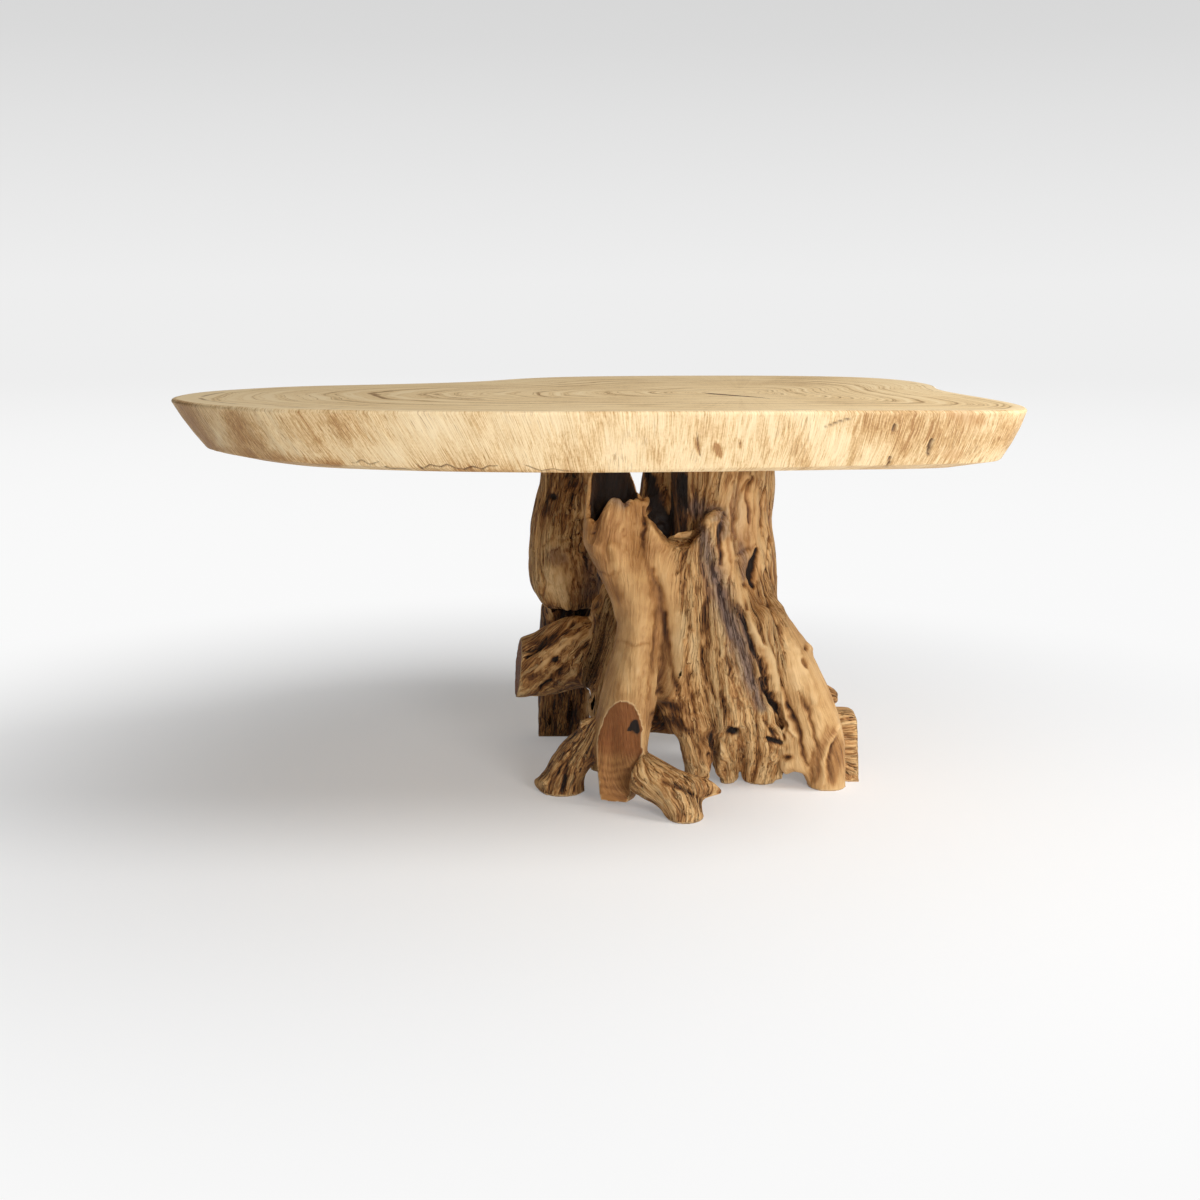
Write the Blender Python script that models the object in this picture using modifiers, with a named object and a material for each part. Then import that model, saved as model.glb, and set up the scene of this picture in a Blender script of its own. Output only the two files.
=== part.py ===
"""Live edge dining table: a thick natural-edge slab on a base of sawn and doweled root sections.

Metres, +Z up. The origin lies on the floor under the middle of the slab. +X runs along the slab
and -Y faces the front, where the pale hollow root stands.
"""

import math
from typing import NamedTuple

import bmesh
import bpy
from mathutils import Matrix, Vector

# Slab
TABLE_HEIGHT = 0.760
SLAB_LENGTH = 1.520
SLAB_DEPTH = 1.090
SLAB_THICKNESS = 0.105
END_UNDERCUT = 0.046
SIDE_UNDERCUT = 0.034
UNDERCUT_LEAN = 0.012
EDGE_BELLY = 0.003
TOP_EASING = 0.004
LOWER_ROUND = 0.006
ARRIS_RISE = 0.010
ARRIS_SWEEP = 0.060
OUTLINE_STEPS = 4
EDGE_RINGS = 3

# Fits between pieces
JOINT_GAP = 0.0003
PIN_CLEARANCE = 0.0003
BORE_END_ROOM = 0.0004

# Dowels
DOWEL_DIAMETER = 0.020
DOWEL_LENGTH = 0.070
DOWEL_CHAMFER = 0.0015
DOWEL_SIDES = 14

# Figure-eight fasteners and their screws
PLATE_THICKNESS = 0.0030
PLATE_RADIUS = 0.0095
PLATE_PITCH = 0.030
PLATE_NECK = 0.010
PLATE_SETBACK = 0.016
PLATE_SIDES = 16
SCREW_SHANK = 0.0040
SCREW_HEAD = 0.0080
SCREW_HEAD_DEPTH = 0.0022
SCREW_LENGTH = 0.025
SCREW_TIP = 0.005
SCREW_SIDES = 10

# Root skin
ROOT_VOXEL = 0.0075
ROOT_SMOOTHING = 6
LIMB_SIDES = 16
LIMB_STEPS = 3
SAW_REACH = 0.045
SAW_SIZE = 2.0

# Sawn end of the left limb and sawn face of the front root, measured from the middle of the slab
LEFT_LIMB_END = 0.140
FRONT_FACE_REACH = 0.290

# Squared block behind the right foot
BLOCK_LEFT = 0.455
BLOCK_RIGHT = 0.543
BLOCK_FRONT = -0.125
BLOCK_BACK = 0.000
BLOCK_HEIGHT = 0.128
BLOCK_ROUND = 0.014

UNDERSIDE = TABLE_HEIGHT - SLAB_THICKNESS
ROOT_TOP = UNDERSIDE - JOINT_GAP
ABOVE_TOP = UNDERSIDE + SAW_REACH
BELOW_FLOOR = -SAW_REACH

# Natural outline of the slab seen from above, counter-clockwise from the left tip
SLAB_OUTLINE = (
    (-0.751, -0.214), (-0.692, -0.331), (-0.620, -0.407), (-0.505, -0.482), (-0.300, -0.529),
    (-0.050, -0.546), (0.200, -0.535), (0.450, -0.522), (0.690, -0.520), (0.752, -0.470),
    (0.763, -0.370), (0.746, -0.230), (0.716, -0.060), (0.708, 0.060), (0.720, 0.200),
    (0.690, 0.365), (0.605, 0.482), (0.440, 0.538), (0.210, 0.541), (0.005, 0.508),
    (-0.120, 0.440), (-0.235, 0.305), (-0.390, 0.218), (-0.570, 0.145), (-0.675, 0.050),
    (-0.741, -0.060),
)


class Station(NamedTuple):
    """One elliptical section of a root: its middle and its half sizes across and along the view."""

    x: float
    y: float
    z: float
    wide: float
    deep: float


TRUNK = (
    Station(0.270, -0.030, ABOVE_TOP, 0.102, 0.110),
    Station(0.270, -0.030, 0.580, 0.100, 0.110),
    Station(0.269, -0.030, 0.510, 0.097, 0.112),
    Station(0.275, -0.035, 0.430, 0.100, 0.122),
    Station(0.283, -0.050, 0.313, 0.101, 0.126),
    Station(0.294, -0.060, 0.194, 0.097, 0.120),
    Station(0.302, -0.065, 0.075, 0.082, 0.085),
)
FRONT_WALL = (
    Station(0.190, -0.168, 0.542, 0.080, 0.026),
    Station(0.194, -0.173, 0.470, 0.088, 0.034),
    Station(0.204, -0.176, 0.400, 0.100, 0.038),
    Station(0.226, -0.176, 0.300, 0.122, 0.042),
    Station(0.244, -0.168, 0.215, 0.120, 0.042),
    Station(0.258, -0.158, 0.128, 0.100, 0.036),
)
WEB = (
    Station(0.136, -0.172, 0.530, 0.026, 0.022),
    Station(0.146, -0.184, 0.450, 0.036, 0.030),
    Station(0.158, -0.194, 0.350, 0.046, 0.035),
    Station(0.166, -0.196, 0.260, 0.052, 0.036),
    Station(0.172, -0.184, 0.190, 0.044, 0.030),
)
CORE = (
    Station(0.155, 0.045, ABOVE_TOP, 0.036, 0.048),
    Station(0.152, 0.040, 0.590, 0.036, 0.050),
    Station(0.141, 0.025, 0.498, 0.050, 0.060),
    Station(0.113, -0.005, 0.379, 0.068, 0.068),
    Station(0.077, -0.020, 0.241, 0.072, 0.070),
    Station(0.063, -0.030, 0.109, 0.054, 0.056),
    Station(0.055, -0.035, BELOW_FLOOR, 0.048, 0.046),
)
THROAT = (
    Station(0.060, -0.020, 0.180, 0.100, 0.050),
    Station(0.150, -0.025, 0.175, 0.100, 0.050),
    Station(0.250, -0.030, 0.180, 0.100, 0.050),
)
MIDDLE_ROOT_A = (
    Station(0.196, -0.176, 0.330, 0.046, 0.040),
    Station(0.206, -0.176, 0.220, 0.042, 0.038),
    Station(0.216, -0.166, 0.120, 0.033, 0.034),
    Station(0.221, -0.158, 0.050, 0.027, 0.030),
    Station(0.222, -0.154, BELOW_FLOOR, 0.022, 0.026),
)
MIDDLE_ROOT_B = (
    Station(0.250, -0.178, 0.340, 0.050, 0.042),
    Station(0.264, -0.168, 0.220, 0.044, 0.040),
    Station(0.275, -0.138, 0.120, 0.032, 0.034),
    Station(0.280, -0.110, 0.050, 0.020, 0.028),
    Station(0.281, -0.100, BELOW_FLOOR, 0.015, 0.024),
)
MIDDLE_ROOT_C = (
    Station(0.300, -0.172, 0.350, 0.050, 0.044),
    Station(0.318, -0.160, 0.220, 0.050, 0.046),
    Station(0.336, -0.134, 0.115, 0.042, 0.042),
    Station(0.345, -0.106, 0.050, 0.036, 0.038),
    Station(0.348, -0.094, BELOW_FLOOR, 0.030, 0.034),
)
MIDDLE_ROOT_D = (
    Station(0.335, -0.130, 0.300, 0.044, 0.044),
    Station(0.352, -0.098, 0.180, 0.036, 0.042),
    Station(0.358, -0.066, 0.080, 0.028, 0.038),
    Station(0.360, -0.054, BELOW_FLOOR, 0.025, 0.032),
)
RIGHT_ROOT = (
    Station(0.318, -0.070, 0.450, 0.040, 0.050),
    Station(0.327, -0.084, 0.350, 0.046, 0.060),
    Station(0.366, -0.104, 0.282, 0.052, 0.062),
    Station(0.405, -0.115, 0.212, 0.055, 0.060),
    Station(0.438, -0.122, 0.138, 0.056, 0.056),
    Station(0.464, -0.127, 0.068, 0.047, 0.052),
    Station(0.480, -0.132, BELOW_FLOOR, 0.033, 0.046),
)
RIGHT_HEEL = (
    Station(0.412, -0.112, 0.215, 0.038, 0.045),
    Station(0.421, -0.120, 0.150, 0.035, 0.048),
    Station(0.424, -0.124, 0.090, 0.037, 0.048),
    Station(0.424, -0.126, 0.030, 0.036, 0.044),
)
RIGHT_KNOB = (
    Station(0.390, -0.085, 0.290, 0.026, 0.034),
    Station(0.420, -0.085, 0.250, 0.028, 0.034),
    Station(0.434, -0.085, 0.205, 0.020, 0.028),
)
FRONT_ROOT = (
    Station(0.055, -0.153, 0.625, 0.048, 0.045),
    Station(0.053, -0.160, 0.560, 0.054, 0.051),
    Station(0.053, -0.166, 0.510, 0.054, 0.051),
    Station(0.068, -0.176, 0.463, 0.048, 0.048),
    Station(0.094, -0.190, 0.398, 0.043, 0.045),
    Station(0.104, -0.200, 0.343, 0.042, 0.044),
    Station(0.100, -0.214, 0.288, 0.045, 0.047),
    Station(0.087, -0.236, 0.216, 0.054, 0.056),
    Station(0.072, -0.254, 0.140, 0.052, 0.070),
    Station(0.067, -0.266, 0.075, 0.048, 0.074),
    Station(0.064, -0.274, 0.010, 0.040, 0.066),
)
TORN_KNOB = (
    Station(0.080, -0.165, 0.540, 0.022, 0.022),
    Station(0.110, -0.165, 0.562, 0.015, 0.015),
    Station(0.126, -0.165, 0.570, 0.007, 0.007),
)
FRONT_FOOT = (
    Station(0.070, -0.262, 0.085, 0.036, 0.042),
    Station(0.133, -0.302, 0.060, 0.036, 0.044),
    Station(0.175, -0.330, 0.036, 0.036, 0.044),
    Station(0.197, -0.346, BELOW_FLOOR, 0.030, 0.038),
)
FOOT_HORN = (
    Station(0.165, -0.325, 0.060, 0.026, 0.028),
    Station(0.222, -0.336, 0.056, 0.018, 0.021),
    Station(0.259, -0.342, 0.047, 0.008, 0.010),
)
FRONT_STRUT = (
    Station(0.068, -0.256, 0.176, 0.030, 0.036),
    Station(0.013, -0.222, 0.112, 0.035, 0.038),
    Station(-0.032, -0.178, 0.046, 0.038, 0.044),
    Station(-0.048, -0.150, BELOW_FLOOR, 0.055, 0.062),
)
LEFT_POST = (
    Station(-0.028, 0.120, ABOVE_TOP, 0.062, 0.052),
    Station(-0.029, 0.120, 0.590, 0.062, 0.052),
    Station(-0.034, 0.120, 0.530, 0.067, 0.057),
    Station(-0.044, 0.116, 0.468, 0.072, 0.062),
    Station(-0.043, 0.112, 0.400, 0.076, 0.064),
    Station(-0.037, 0.112, 0.356, 0.074, 0.064),
    Station(-0.034, 0.114, 0.322, 0.058, 0.058),
    Station(-0.034, 0.118, 0.285, 0.042, 0.050),
)
LEFT_LIMB = (
    Station(0.070, 0.010, 0.231, 0.066, 0.062),
    Station(-0.020, 0.062, 0.224, 0.074, 0.082),
    Station(-0.083, 0.086, 0.196, 0.066, 0.072),
    Station(-0.200, 0.090, 0.170, 0.054, 0.050),
)
REAR_LEFT_LEG = (
    Station(-0.026, 0.125, 0.380, 0.056, 0.056),
    Station(-0.034, 0.145, 0.310, 0.056, 0.058),
    Station(-0.045, 0.192, 0.216, 0.053, 0.062),
    Station(-0.051, 0.225, 0.104, 0.051, 0.054),
    Station(-0.054, 0.235, BELOW_FLOOR, 0.051, 0.048),
)
REAR_ROOT = (
    Station(0.268, 0.000, 0.490, 0.050, 0.046),
    Station(0.274, 0.066, 0.390, 0.078, 0.064),
    Station(0.284, 0.120, 0.280, 0.078, 0.064),
    Station(0.310, 0.172, 0.180, 0.068, 0.058),
    Station(0.342, 0.215, 0.080, 0.058, 0.054),
    Station(0.362, 0.235, BELOW_FLOOR, 0.062, 0.058),
)
REAR_STUB = (
    Station(0.325, 0.180, 0.165, 0.048, 0.046),
    Station(0.420, 0.200, 0.125, 0.036, 0.040),
    Station(0.500, 0.206, 0.100, 0.028, 0.036),
    Station(0.541, 0.210, 0.089, 0.018, 0.026),
)

# Hollows worn out of the roots
TRUNK_HOLLOW = (
    Station(0.138, -0.088, ABOVE_TOP, 0.042, 0.048),
    Station(0.138, -0.088, 0.560, 0.042, 0.048),
    Station(0.140, -0.092, 0.480, 0.036, 0.040),
    Station(0.142, -0.096, 0.390, 0.020, 0.026),
)
WALL_BITE = (
    Station(0.176, -0.260, 0.556, 0.062, 0.044),
    Station(0.178, -0.200, 0.552, 0.064, 0.044),
    Station(0.180, -0.146, 0.550, 0.062, 0.040),
)
FRONT_HOLLOW = (
    Station(0.058, -0.150, 0.680, 0.042, 0.038),
    Station(0.058, -0.156, 0.590, 0.041, 0.037),
    Station(0.058, -0.162, 0.540, 0.034, 0.031),
    Station(0.062, -0.168, 0.490, 0.020, 0.018),
    Station(0.066, -0.172, 0.460, 0.008, 0.008),
)


class Section(NamedTuple):
    """One sawn piece of the base: its own roots, those that only blend in, and what is cut."""

    roots: tuple
    hollows: tuple
    faces: int
    colour: tuple
    has_foot: bool
    has_top: bool


SECTIONS = {
    "stump": Section(
        (TRUNK, FRONT_WALL, WEB, CORE, THROAT, MIDDLE_ROOT_A, MIDDLE_ROOT_B, MIDDLE_ROOT_C,
         MIDDLE_ROOT_D, RIGHT_ROOT, FRONT_ROOT, LEFT_LIMB),
        (TRUNK_HOLLOW, WALL_BITE), 2300, (0.36, 0.19, 0.085), True, True),
    "front_root": Section(
        (FRONT_ROOT, TORN_KNOB, FRONT_WALL, WEB), (FRONT_HOLLOW, TRUNK_HOLLOW, WALL_BITE),
        1100, (0.52, 0.34, 0.18), True, False),
    "front_foot": Section((FRONT_FOOT, FOOT_HORN), (), 460, (0.33, 0.19, 0.10), True, False),
    "front_strut": Section((FRONT_STRUT,), (), 320, (0.24, 0.12, 0.055), True, False),
    "left_post": Section((LEFT_POST,), (), 520, (0.34, 0.21, 0.12), False, True),
    "left_limb": Section((LEFT_LIMB,), (), 420, (0.26, 0.14, 0.065), False, False),
    "rear_left_leg": Section((REAR_LEFT_LEG,), (), 380, (0.13, 0.075, 0.045), True, False),
    "right_root": Section((RIGHT_ROOT, RIGHT_HEEL, RIGHT_KNOB), (), 720, (0.47, 0.27, 0.12), True, False),
    "rear_root": Section((REAR_ROOT, REAR_STUB), (), 640, (0.22, 0.12, 0.06), True, False),
}


class Pin(NamedTuple):
    """A dowel across a joint: its name, a point near the joint plane and its direction."""

    name: str
    near: tuple
    along: tuple


class Joint(NamedTuple):
    """A sawn joint plane. Its normal points from the first piece into the second."""

    first: str
    second: str
    point: tuple
    normal: tuple
    pins: tuple


JOINTS = (
    Joint("front_root", "stump", (0.132, -0.165, 0.400), (0.75, 0.66, 0.0), (
        Pin("dowel_front_root_upper", (0.132, -0.170, 0.425), (1.0, 0.15, 0.0)),
        Pin("dowel_front_root_lower", (0.132, -0.172, 0.330), (1.0, 0.15, 0.0)))),
    Joint("front_root", "front_foot", (0.106, -0.280, 0.075), (0.90, -0.35, -0.28), (
        Pin("dowel_front_foot", (0.106, -0.276, 0.074), (0.85, -0.42, -0.32)),)),
    Joint("front_root", "front_strut", (0.020, -0.230, 0.150), (-0.997, 0.0, -0.072), (
        Pin("dowel_front_strut", (0.024, -0.236, 0.124), (-0.66, 0.38, -0.64)),)),
    Joint("stump", "right_root", (0.386, -0.100, 0.230), (1.0, 0.0, 0.0), (
        Pin("dowel_right_root_upper", (0.386, -0.104, 0.258), (1.0, 0.0, 0.0)),
        Pin("dowel_right_root_lower", (0.386, -0.106, 0.194), (1.0, 0.0, 0.0)))),
    Joint("stump", "rear_root", (0.270, 0.065, 0.300), (0.0, 1.0, -0.15), (
        Pin("dowel_rear_root_upper", (0.272, 0.074, 0.360), (0.0, 1.0, -0.15)),
        Pin("dowel_rear_root_lower", (0.285, 0.056, 0.250), (0.0, 1.0, -0.15)))),
    Joint("stump", "left_limb", (0.012, 0.040, 0.228), (-1.0, 0.0, 0.0), (
        Pin("dowel_left_limb_front", (0.012, -0.008, 0.228), (-1.0, 0.0, 0.0)),
        Pin("dowel_left_limb_back", (0.012, 0.034, 0.228), (-1.0, 0.0, 0.0)))),
    Joint("left_limb", "rear_left_leg", (-0.045, 0.145, 0.200), (0.0, 0.925, 0.38), (
        Pin("dowel_rear_left_leg", (-0.046, 0.145, 0.204), (0.0, 0.925, 0.38)),)),
    Joint("left_post", "rear_left_leg", (-0.035, 0.135, 0.310), (0.0, 0.0, -1.0), (
        Pin("dowel_left_post", (-0.035, 0.142, 0.310), (0.0, 0.0, -1.0)),)),
    Joint("right_root", "rear_right_block", (0.500, -0.090, 0.060), (0.0, 0.936, -0.351), (
        Pin("dowel_rear_block", (0.480, -0.090, 0.058), (0.0, 0.936, -0.351)),)),
)


class Fastener(NamedTuple):
    """A figure-eight fastener: its name, the root it is let into, that root's top and its way out."""

    name: str
    root: str
    top: Station
    way: tuple


FASTENERS = (
    Fastener("right", "stump", TRUNK[0], (1, 0)),
    Fastener("middle", "stump", TRUNK[0], (0, 1)),
    Fastener("left", "left_post", LEFT_POST[0], (-1, 0)),
    Fastener("rear", "left_post", LEFT_POST[0], (0, 1)),
)


def smooth_run(points, steps, closed=False):
    """Points on a smooth Catmull-Rom curve through the given ones.

    Args:
        points: tuples of equal length.
        steps: how many points replace each stretch.
        closed: whether the curve returns to its start.
    Returns:
        A list of tuples.
    """
    count = len(points)
    run = []
    for i in range(count if closed else count - 1):
        if closed:
            around = [points[(i + k) % count] for k in (-1, 0, 1, 2)]
        else:
            around = [points[min(max(i + k, 0), count - 1)] for k in (-1, 0, 1, 2)]
        for step in range(steps):
            t = step / steps
            run.append(tuple(
                0.5 * (2 * b + (c - a) * t + (2 * a - 5 * b + 4 * c - d) * t * t
                       + (3 * b - a - 3 * c + d) * t ** 3)
                for a, b, c, d in zip(*around)))
    if not closed:
        run.append(tuple(points[-1]))
    return run


def loft(bm, rings):
    """Skins a closed solid through rings of equally many points, with flat end caps."""
    loops = [[bm.verts.new(point) for point in ring] for ring in rings]
    for upper, lower in zip(loops, loops[1:]):
        for k in range(len(upper)):
            after = (k + 1) % len(upper)
            bm.faces.new((upper[k], lower[k], lower[after], upper[after]))
    bm.faces.new(loops[0])
    bm.faces.new(reversed(loops[-1]))


def finish_mesh(bm, name):
    """Turns the bmesh into a mesh datablock with its faces pointing out."""
    bmesh.ops.recalc_face_normals(bm, faces=bm.faces)
    mesh = bpy.data.meshes.new(name)
    bm.to_mesh(mesh)
    bm.free()
    return mesh


def limb_rings(stations):
    """Rings of points around a root's centre line, each square to it."""
    run = [Station(*values) for values in smooth_run(stations, LIMB_STEPS)]
    rings = []
    for i, here in enumerate(run):
        before, after = run[max(i - 1, 0)], run[min(i + 1, len(run) - 1)]
        along = (Vector(after[:3]) - Vector(before[:3])).normalized()
        guide = Vector((0, 1, 0)) if abs(along.y) < 0.9 else Vector((0, 0, 1))
        deep = (guide - along * guide.dot(along)).normalized()
        wide = along.cross(deep)
        turns = [2 * math.pi * k / LIMB_SIDES for k in range(LIMB_SIDES)]
        rings.append([Vector(here[:3]) + wide * here.wide * math.cos(turn)
                      + deep * here.deep * math.sin(turn) for turn in turns])
    return rings


def collection_named(name, helper=False):
    """A collection in the scene; one of helpers stays out of renders."""
    made = bpy.data.collections.new(name)
    bpy.context.scene.collection.children.link(made)
    made.hide_render = helper
    return made


class Workshop:
    """Makes the objects of the table and keeps finished pieces and cutters apart."""

    def __init__(self):
        self.pieces = collection_named("live_edge_dining_table")
        self.cutters = collection_named("cutters", helper=True)
        self.frame = bpy.data.objects.new("table_frame", None)
        self.pieces.objects.link(self.frame)

    def piece(self, name, mesh, material):
        """Links a finished piece, parented to the table's frame."""
        made = bpy.data.objects.new(name, mesh)
        made.data.materials.append(material)
        made.parent = self.frame
        self.pieces.objects.link(made)
        return made

    def cutter(self, name, mesh):
        """Links a helper that only cuts other objects."""
        made = bpy.data.objects.new(name, mesh)
        made.hide_render = True
        made.display_type = "WIRE"
        self.cutters.objects.link(made)
        return made


def material(name, colour, roughness, metallic=0.0):
    """A plain Principled material."""
    made = bpy.data.materials.new(name)
    made.use_nodes = True
    shader = made.node_tree.nodes["Principled BSDF"]
    shader.inputs["Base Color"].default_value = (*colour, 1.0)
    shader.inputs["Roughness"].default_value = roughness
    shader.inputs["Metallic"].default_value = metallic
    return made


def boolean(target, cutter, operation="DIFFERENCE"):
    """Adds a Boolean to an object. The exact solver drops cuts of the hollow stump."""
    made = target.modifiers.new(f"{operation.lower()}_{cutter.name}", "BOOLEAN")
    made.operation = operation
    made.solver = "MANIFOLD" if target.name == "stump" else "EXACT"
    made.object = cutter


def turned_to(direction):
    """The rotation that brings +Z onto a direction."""
    return Vector(direction).to_track_quat("Z", "Y")


def place(obj, point, direction):
    """Sets an object's origin at a point with its +Z along a direction."""
    obj.rotation_mode = "QUATERNION"
    obj.rotation_quaternion = turned_to(direction)
    obj.location = point


def rod_mesh(name, rings, sides):
    """A turned solid along +Z from (height, radius) rings."""
    bm = bmesh.new()
    turns = [2 * math.pi * k / sides for k in range(sides)]
    loft(bm, [[(radius * math.cos(turn), radius * math.sin(turn), height) for turn in turns]
              for height, radius in rings])
    return finish_mesh(bm, name)


def saw_block(shop, name, point, normal):
    """A cutter that fills the space beyond a plane, on the side its normal points to."""
    bm = bmesh.new()
    bmesh.ops.create_cube(bm, size=SAW_SIZE, matrix=Matrix.Translation((0, 0, SAW_SIZE / 2)))
    block = shop.cutter(name, finish_mesh(bm, name))
    place(block, point, normal)
    return block


def slab_outline():
    """The outline fitted to the slab's length and depth, centred on the origin."""
    run = smooth_run(SLAB_OUTLINE, OUTLINE_STEPS, closed=True)
    xs, ys = zip(*run)
    middle_x, middle_y = (min(xs) + max(xs)) / 2, (min(ys) + max(ys)) / 2
    stretch_x = SLAB_LENGTH / (max(xs) - min(xs))
    stretch_y = SLAB_DEPTH / (max(ys) - min(ys))
    return [((x - middle_x) * stretch_x, (y - middle_y) * stretch_y) for x, y in run]


def slab_ring(outline, share, height, inward=0.0):
    """One ring of the slab's edge.

    Args:
        outline: the top outline.
        share: 0 at the top edge, 1 at the lower arris.
        height: height of the ring at the middle of the slab.
        inward: extra inset, as for a rounding.
    Returns:
        Points of the ring; the lower arris lifts towards the ends.
    """
    belly = EDGE_BELLY * math.sin(math.pi * share)
    across = END_UNDERCUT * share - belly + inward
    through = SIDE_UNDERCUT * share - belly + inward
    scale_x = 1 - across / (SLAB_LENGTH / 2)
    scale_y = 1 - through / (SLAB_DEPTH / 2)
    lean = UNDERCUT_LEAN * share
    ring = []
    for x, y in outline:
        lift = ARRIS_RISE * share * (2 * x / SLAB_LENGTH) ** 2
        ring.append((x * scale_x + lean, y * scale_y, height + lift))
    return ring


def make_slab(shop):
    """The thick slab, lofted from its easing at the top to its rounded lower arris."""
    outline = slab_outline()
    arris = UNDERSIDE + LOWER_ROUND
    edge_top = TABLE_HEIGHT - TOP_EASING
    rings = [slab_ring(outline, 0.0, TABLE_HEIGHT, TOP_EASING)]
    for k in range(EDGE_RINGS + 1):
        share = k / EDGE_RINGS
        rings.append(slab_ring(outline, share, edge_top + (arris - edge_top) * share))
    flat = slab_ring(outline, 1.0, UNDERSIDE, LOWER_ROUND)
    swept = slab_ring(outline, 1.0, UNDERSIDE, LOWER_ROUND + ARRIS_SWEEP)
    rings.append([Vector((*a[:2], UNDERSIDE)).lerp((*b[:2], UNDERSIDE), (a[2] - UNDERSIDE) / ARRIS_RISE)
                  for a, b in zip(flat, swept)])
    bm = bmesh.new()
    loft(bm, rings)
    return shop.piece("slab_top", finish_mesh(bm, "slab_top"),
                      material("slab_wood", (0.66, 0.47, 0.25), 0.45))


def root_mass(name, roots):
    """Several roots melted into one smooth skin."""
    bm = bmesh.new()
    for stations in roots:
        loft(bm, limb_rings(stations))
    mass = bpy.data.objects.new(name, finish_mesh(bm, name))
    bpy.context.scene.collection.objects.link(mass)
    skin = mass.modifiers.new("skin", "REMESH")
    skin.mode = "VOXEL"
    skin.voxel_size = ROOT_VOXEL
    relax = mass.modifiers.new("relax", "SMOOTH")
    relax.factor = 0.5
    relax.iterations = ROOT_SMOOTHING
    graph = bpy.context.evaluated_depsgraph_get()
    melted = bpy.data.meshes.new_from_object(mass.evaluated_get(graph))
    rough = mass.data
    bpy.data.objects.remove(mass)
    bpy.data.meshes.remove(rough)
    melted.name = name
    return melted


def hollow_cutters(shop):
    """One cutter for each hollow worn out of the roots."""
    cutters = {}
    for name, stations in (("trunk_hollow", TRUNK_HOLLOW), ("wall_bite", WALL_BITE),
                           ("front_hollow", FRONT_HOLLOW)):
        bm = bmesh.new()
        loft(bm, limb_rings(stations))
        cutters[stations] = shop.cutter(name, finish_mesh(bm, name))
    return cutters


def make_sections(shop):
    """The sawn root sections, still without joints."""
    hollows = hollow_cutters(shop)
    floor = saw_block(shop, "floor_saw", (0, 0, 0), (0, 0, -1))
    top = saw_block(shop, "top_saw", (0, 0, ROOT_TOP), (0, 0, 1))
    made = {}
    for name, section in SECTIONS.items():
        mesh = root_mass(name, section.roots)
        mesh.calc_loop_triangles()
        obj = shop.piece(name, mesh, material(f"{name}_wood", section.colour, 0.6))
        thin = obj.modifiers.new("thin_out", "DECIMATE")
        thin.ratio = min(1.0, section.faces / len(mesh.loop_triangles))
        for stations in section.hollows:
            boolean(obj, hollows[stations])
        if section.has_foot:
            boolean(obj, floor)
        if section.has_top:
            boolean(obj, top)
        made[name] = obj
    return made, floor


def make_block(shop, floor):
    """The squared block behind the right foot."""
    bm = bmesh.new()
    size = Vector((BLOCK_RIGHT - BLOCK_LEFT, BLOCK_BACK - BLOCK_FRONT, BLOCK_HEIGHT + SAW_REACH))
    middle = Vector((BLOCK_LEFT + BLOCK_RIGHT, BLOCK_FRONT + BLOCK_BACK, BLOCK_HEIGHT - SAW_REACH)) / 2
    bmesh.ops.create_cube(bm, size=1.0, matrix=Matrix.LocRotScale(middle, None, size))
    block = shop.piece("rear_right_block", finish_mesh(bm, "rear_right_block"),
                       material("rear_right_block_wood", (0.45, 0.28, 0.15), 0.6))
    edge = block.modifiers.new("worn_edges", "BEVEL")
    edge.width = BLOCK_ROUND
    edge.segments = 2
    boolean(block, floor)
    return block


def trim_ends(shop, sections):
    """The sawn end of the left limb, the sawn face and the torn top of the front root."""
    end = saw_block(shop, "limb_end_saw", (-LEFT_LIMB_END, 0.09, 0.17), (-1.0, -0.12, 0.1))
    face = saw_block(shop, "front_face_saw", (0.065, -FRONT_FACE_REACH, 0.11), (-0.15, -0.98, -0.05))
    torn = saw_block(shop, "torn_top_saw", (0.055, -0.160, 0.586), (0.25, -0.35, 0.90))
    boolean(sections["left_limb"], end)
    boolean(sections["front_root"], face)
    boolean(sections["front_root"], torn)


def make_joints(shop, sections):
    """Saws each joint plane with its gap, bores for the dowels and fits the dowels."""
    radius = DOWEL_DIAMETER / 2
    half = DOWEL_LENGTH / 2
    dowel_rings = ((-half, radius - DOWEL_CHAMFER), (-half + DOWEL_CHAMFER, radius),
                   (half - DOWEL_CHAMFER, radius), (half, radius - DOWEL_CHAMFER))
    bore_half = half + BORE_END_ROOM
    bore_rings = ((-bore_half, radius + PIN_CLEARANCE), (bore_half, radius + PIN_CLEARANCE))
    beech = material("dowel_beech", (0.62, 0.44, 0.26), 0.55)
    for joint in JOINTS:
        normal = Vector(joint.normal).normalized()
        point = Vector(joint.point)
        gap = normal * JOINT_GAP / 2
        pair = f"{joint.first}_{joint.second}"
        boolean(sections[joint.first], saw_block(shop, f"saw_{pair}_a", point - gap, normal))
        boolean(sections[joint.second], saw_block(shop, f"saw_{pair}_b", point + gap, -normal))
        for pin in joint.pins:
            near = Vector(pin.near)
            along = Vector(pin.along).normalized()
            seat = near - along * ((near - point).dot(normal) / along.dot(normal))
            bore = shop.cutter(f"bore_{pin.name}", rod_mesh("bore", bore_rings, DOWEL_SIDES))
            place(bore, seat, along)
            boolean(sections[joint.first], bore)
            boolean(sections[joint.second], bore)
            dowel = shop.piece(pin.name, rod_mesh(pin.name, dowel_rings, DOWEL_SIDES), beech)
            place(dowel, seat, along)


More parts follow.
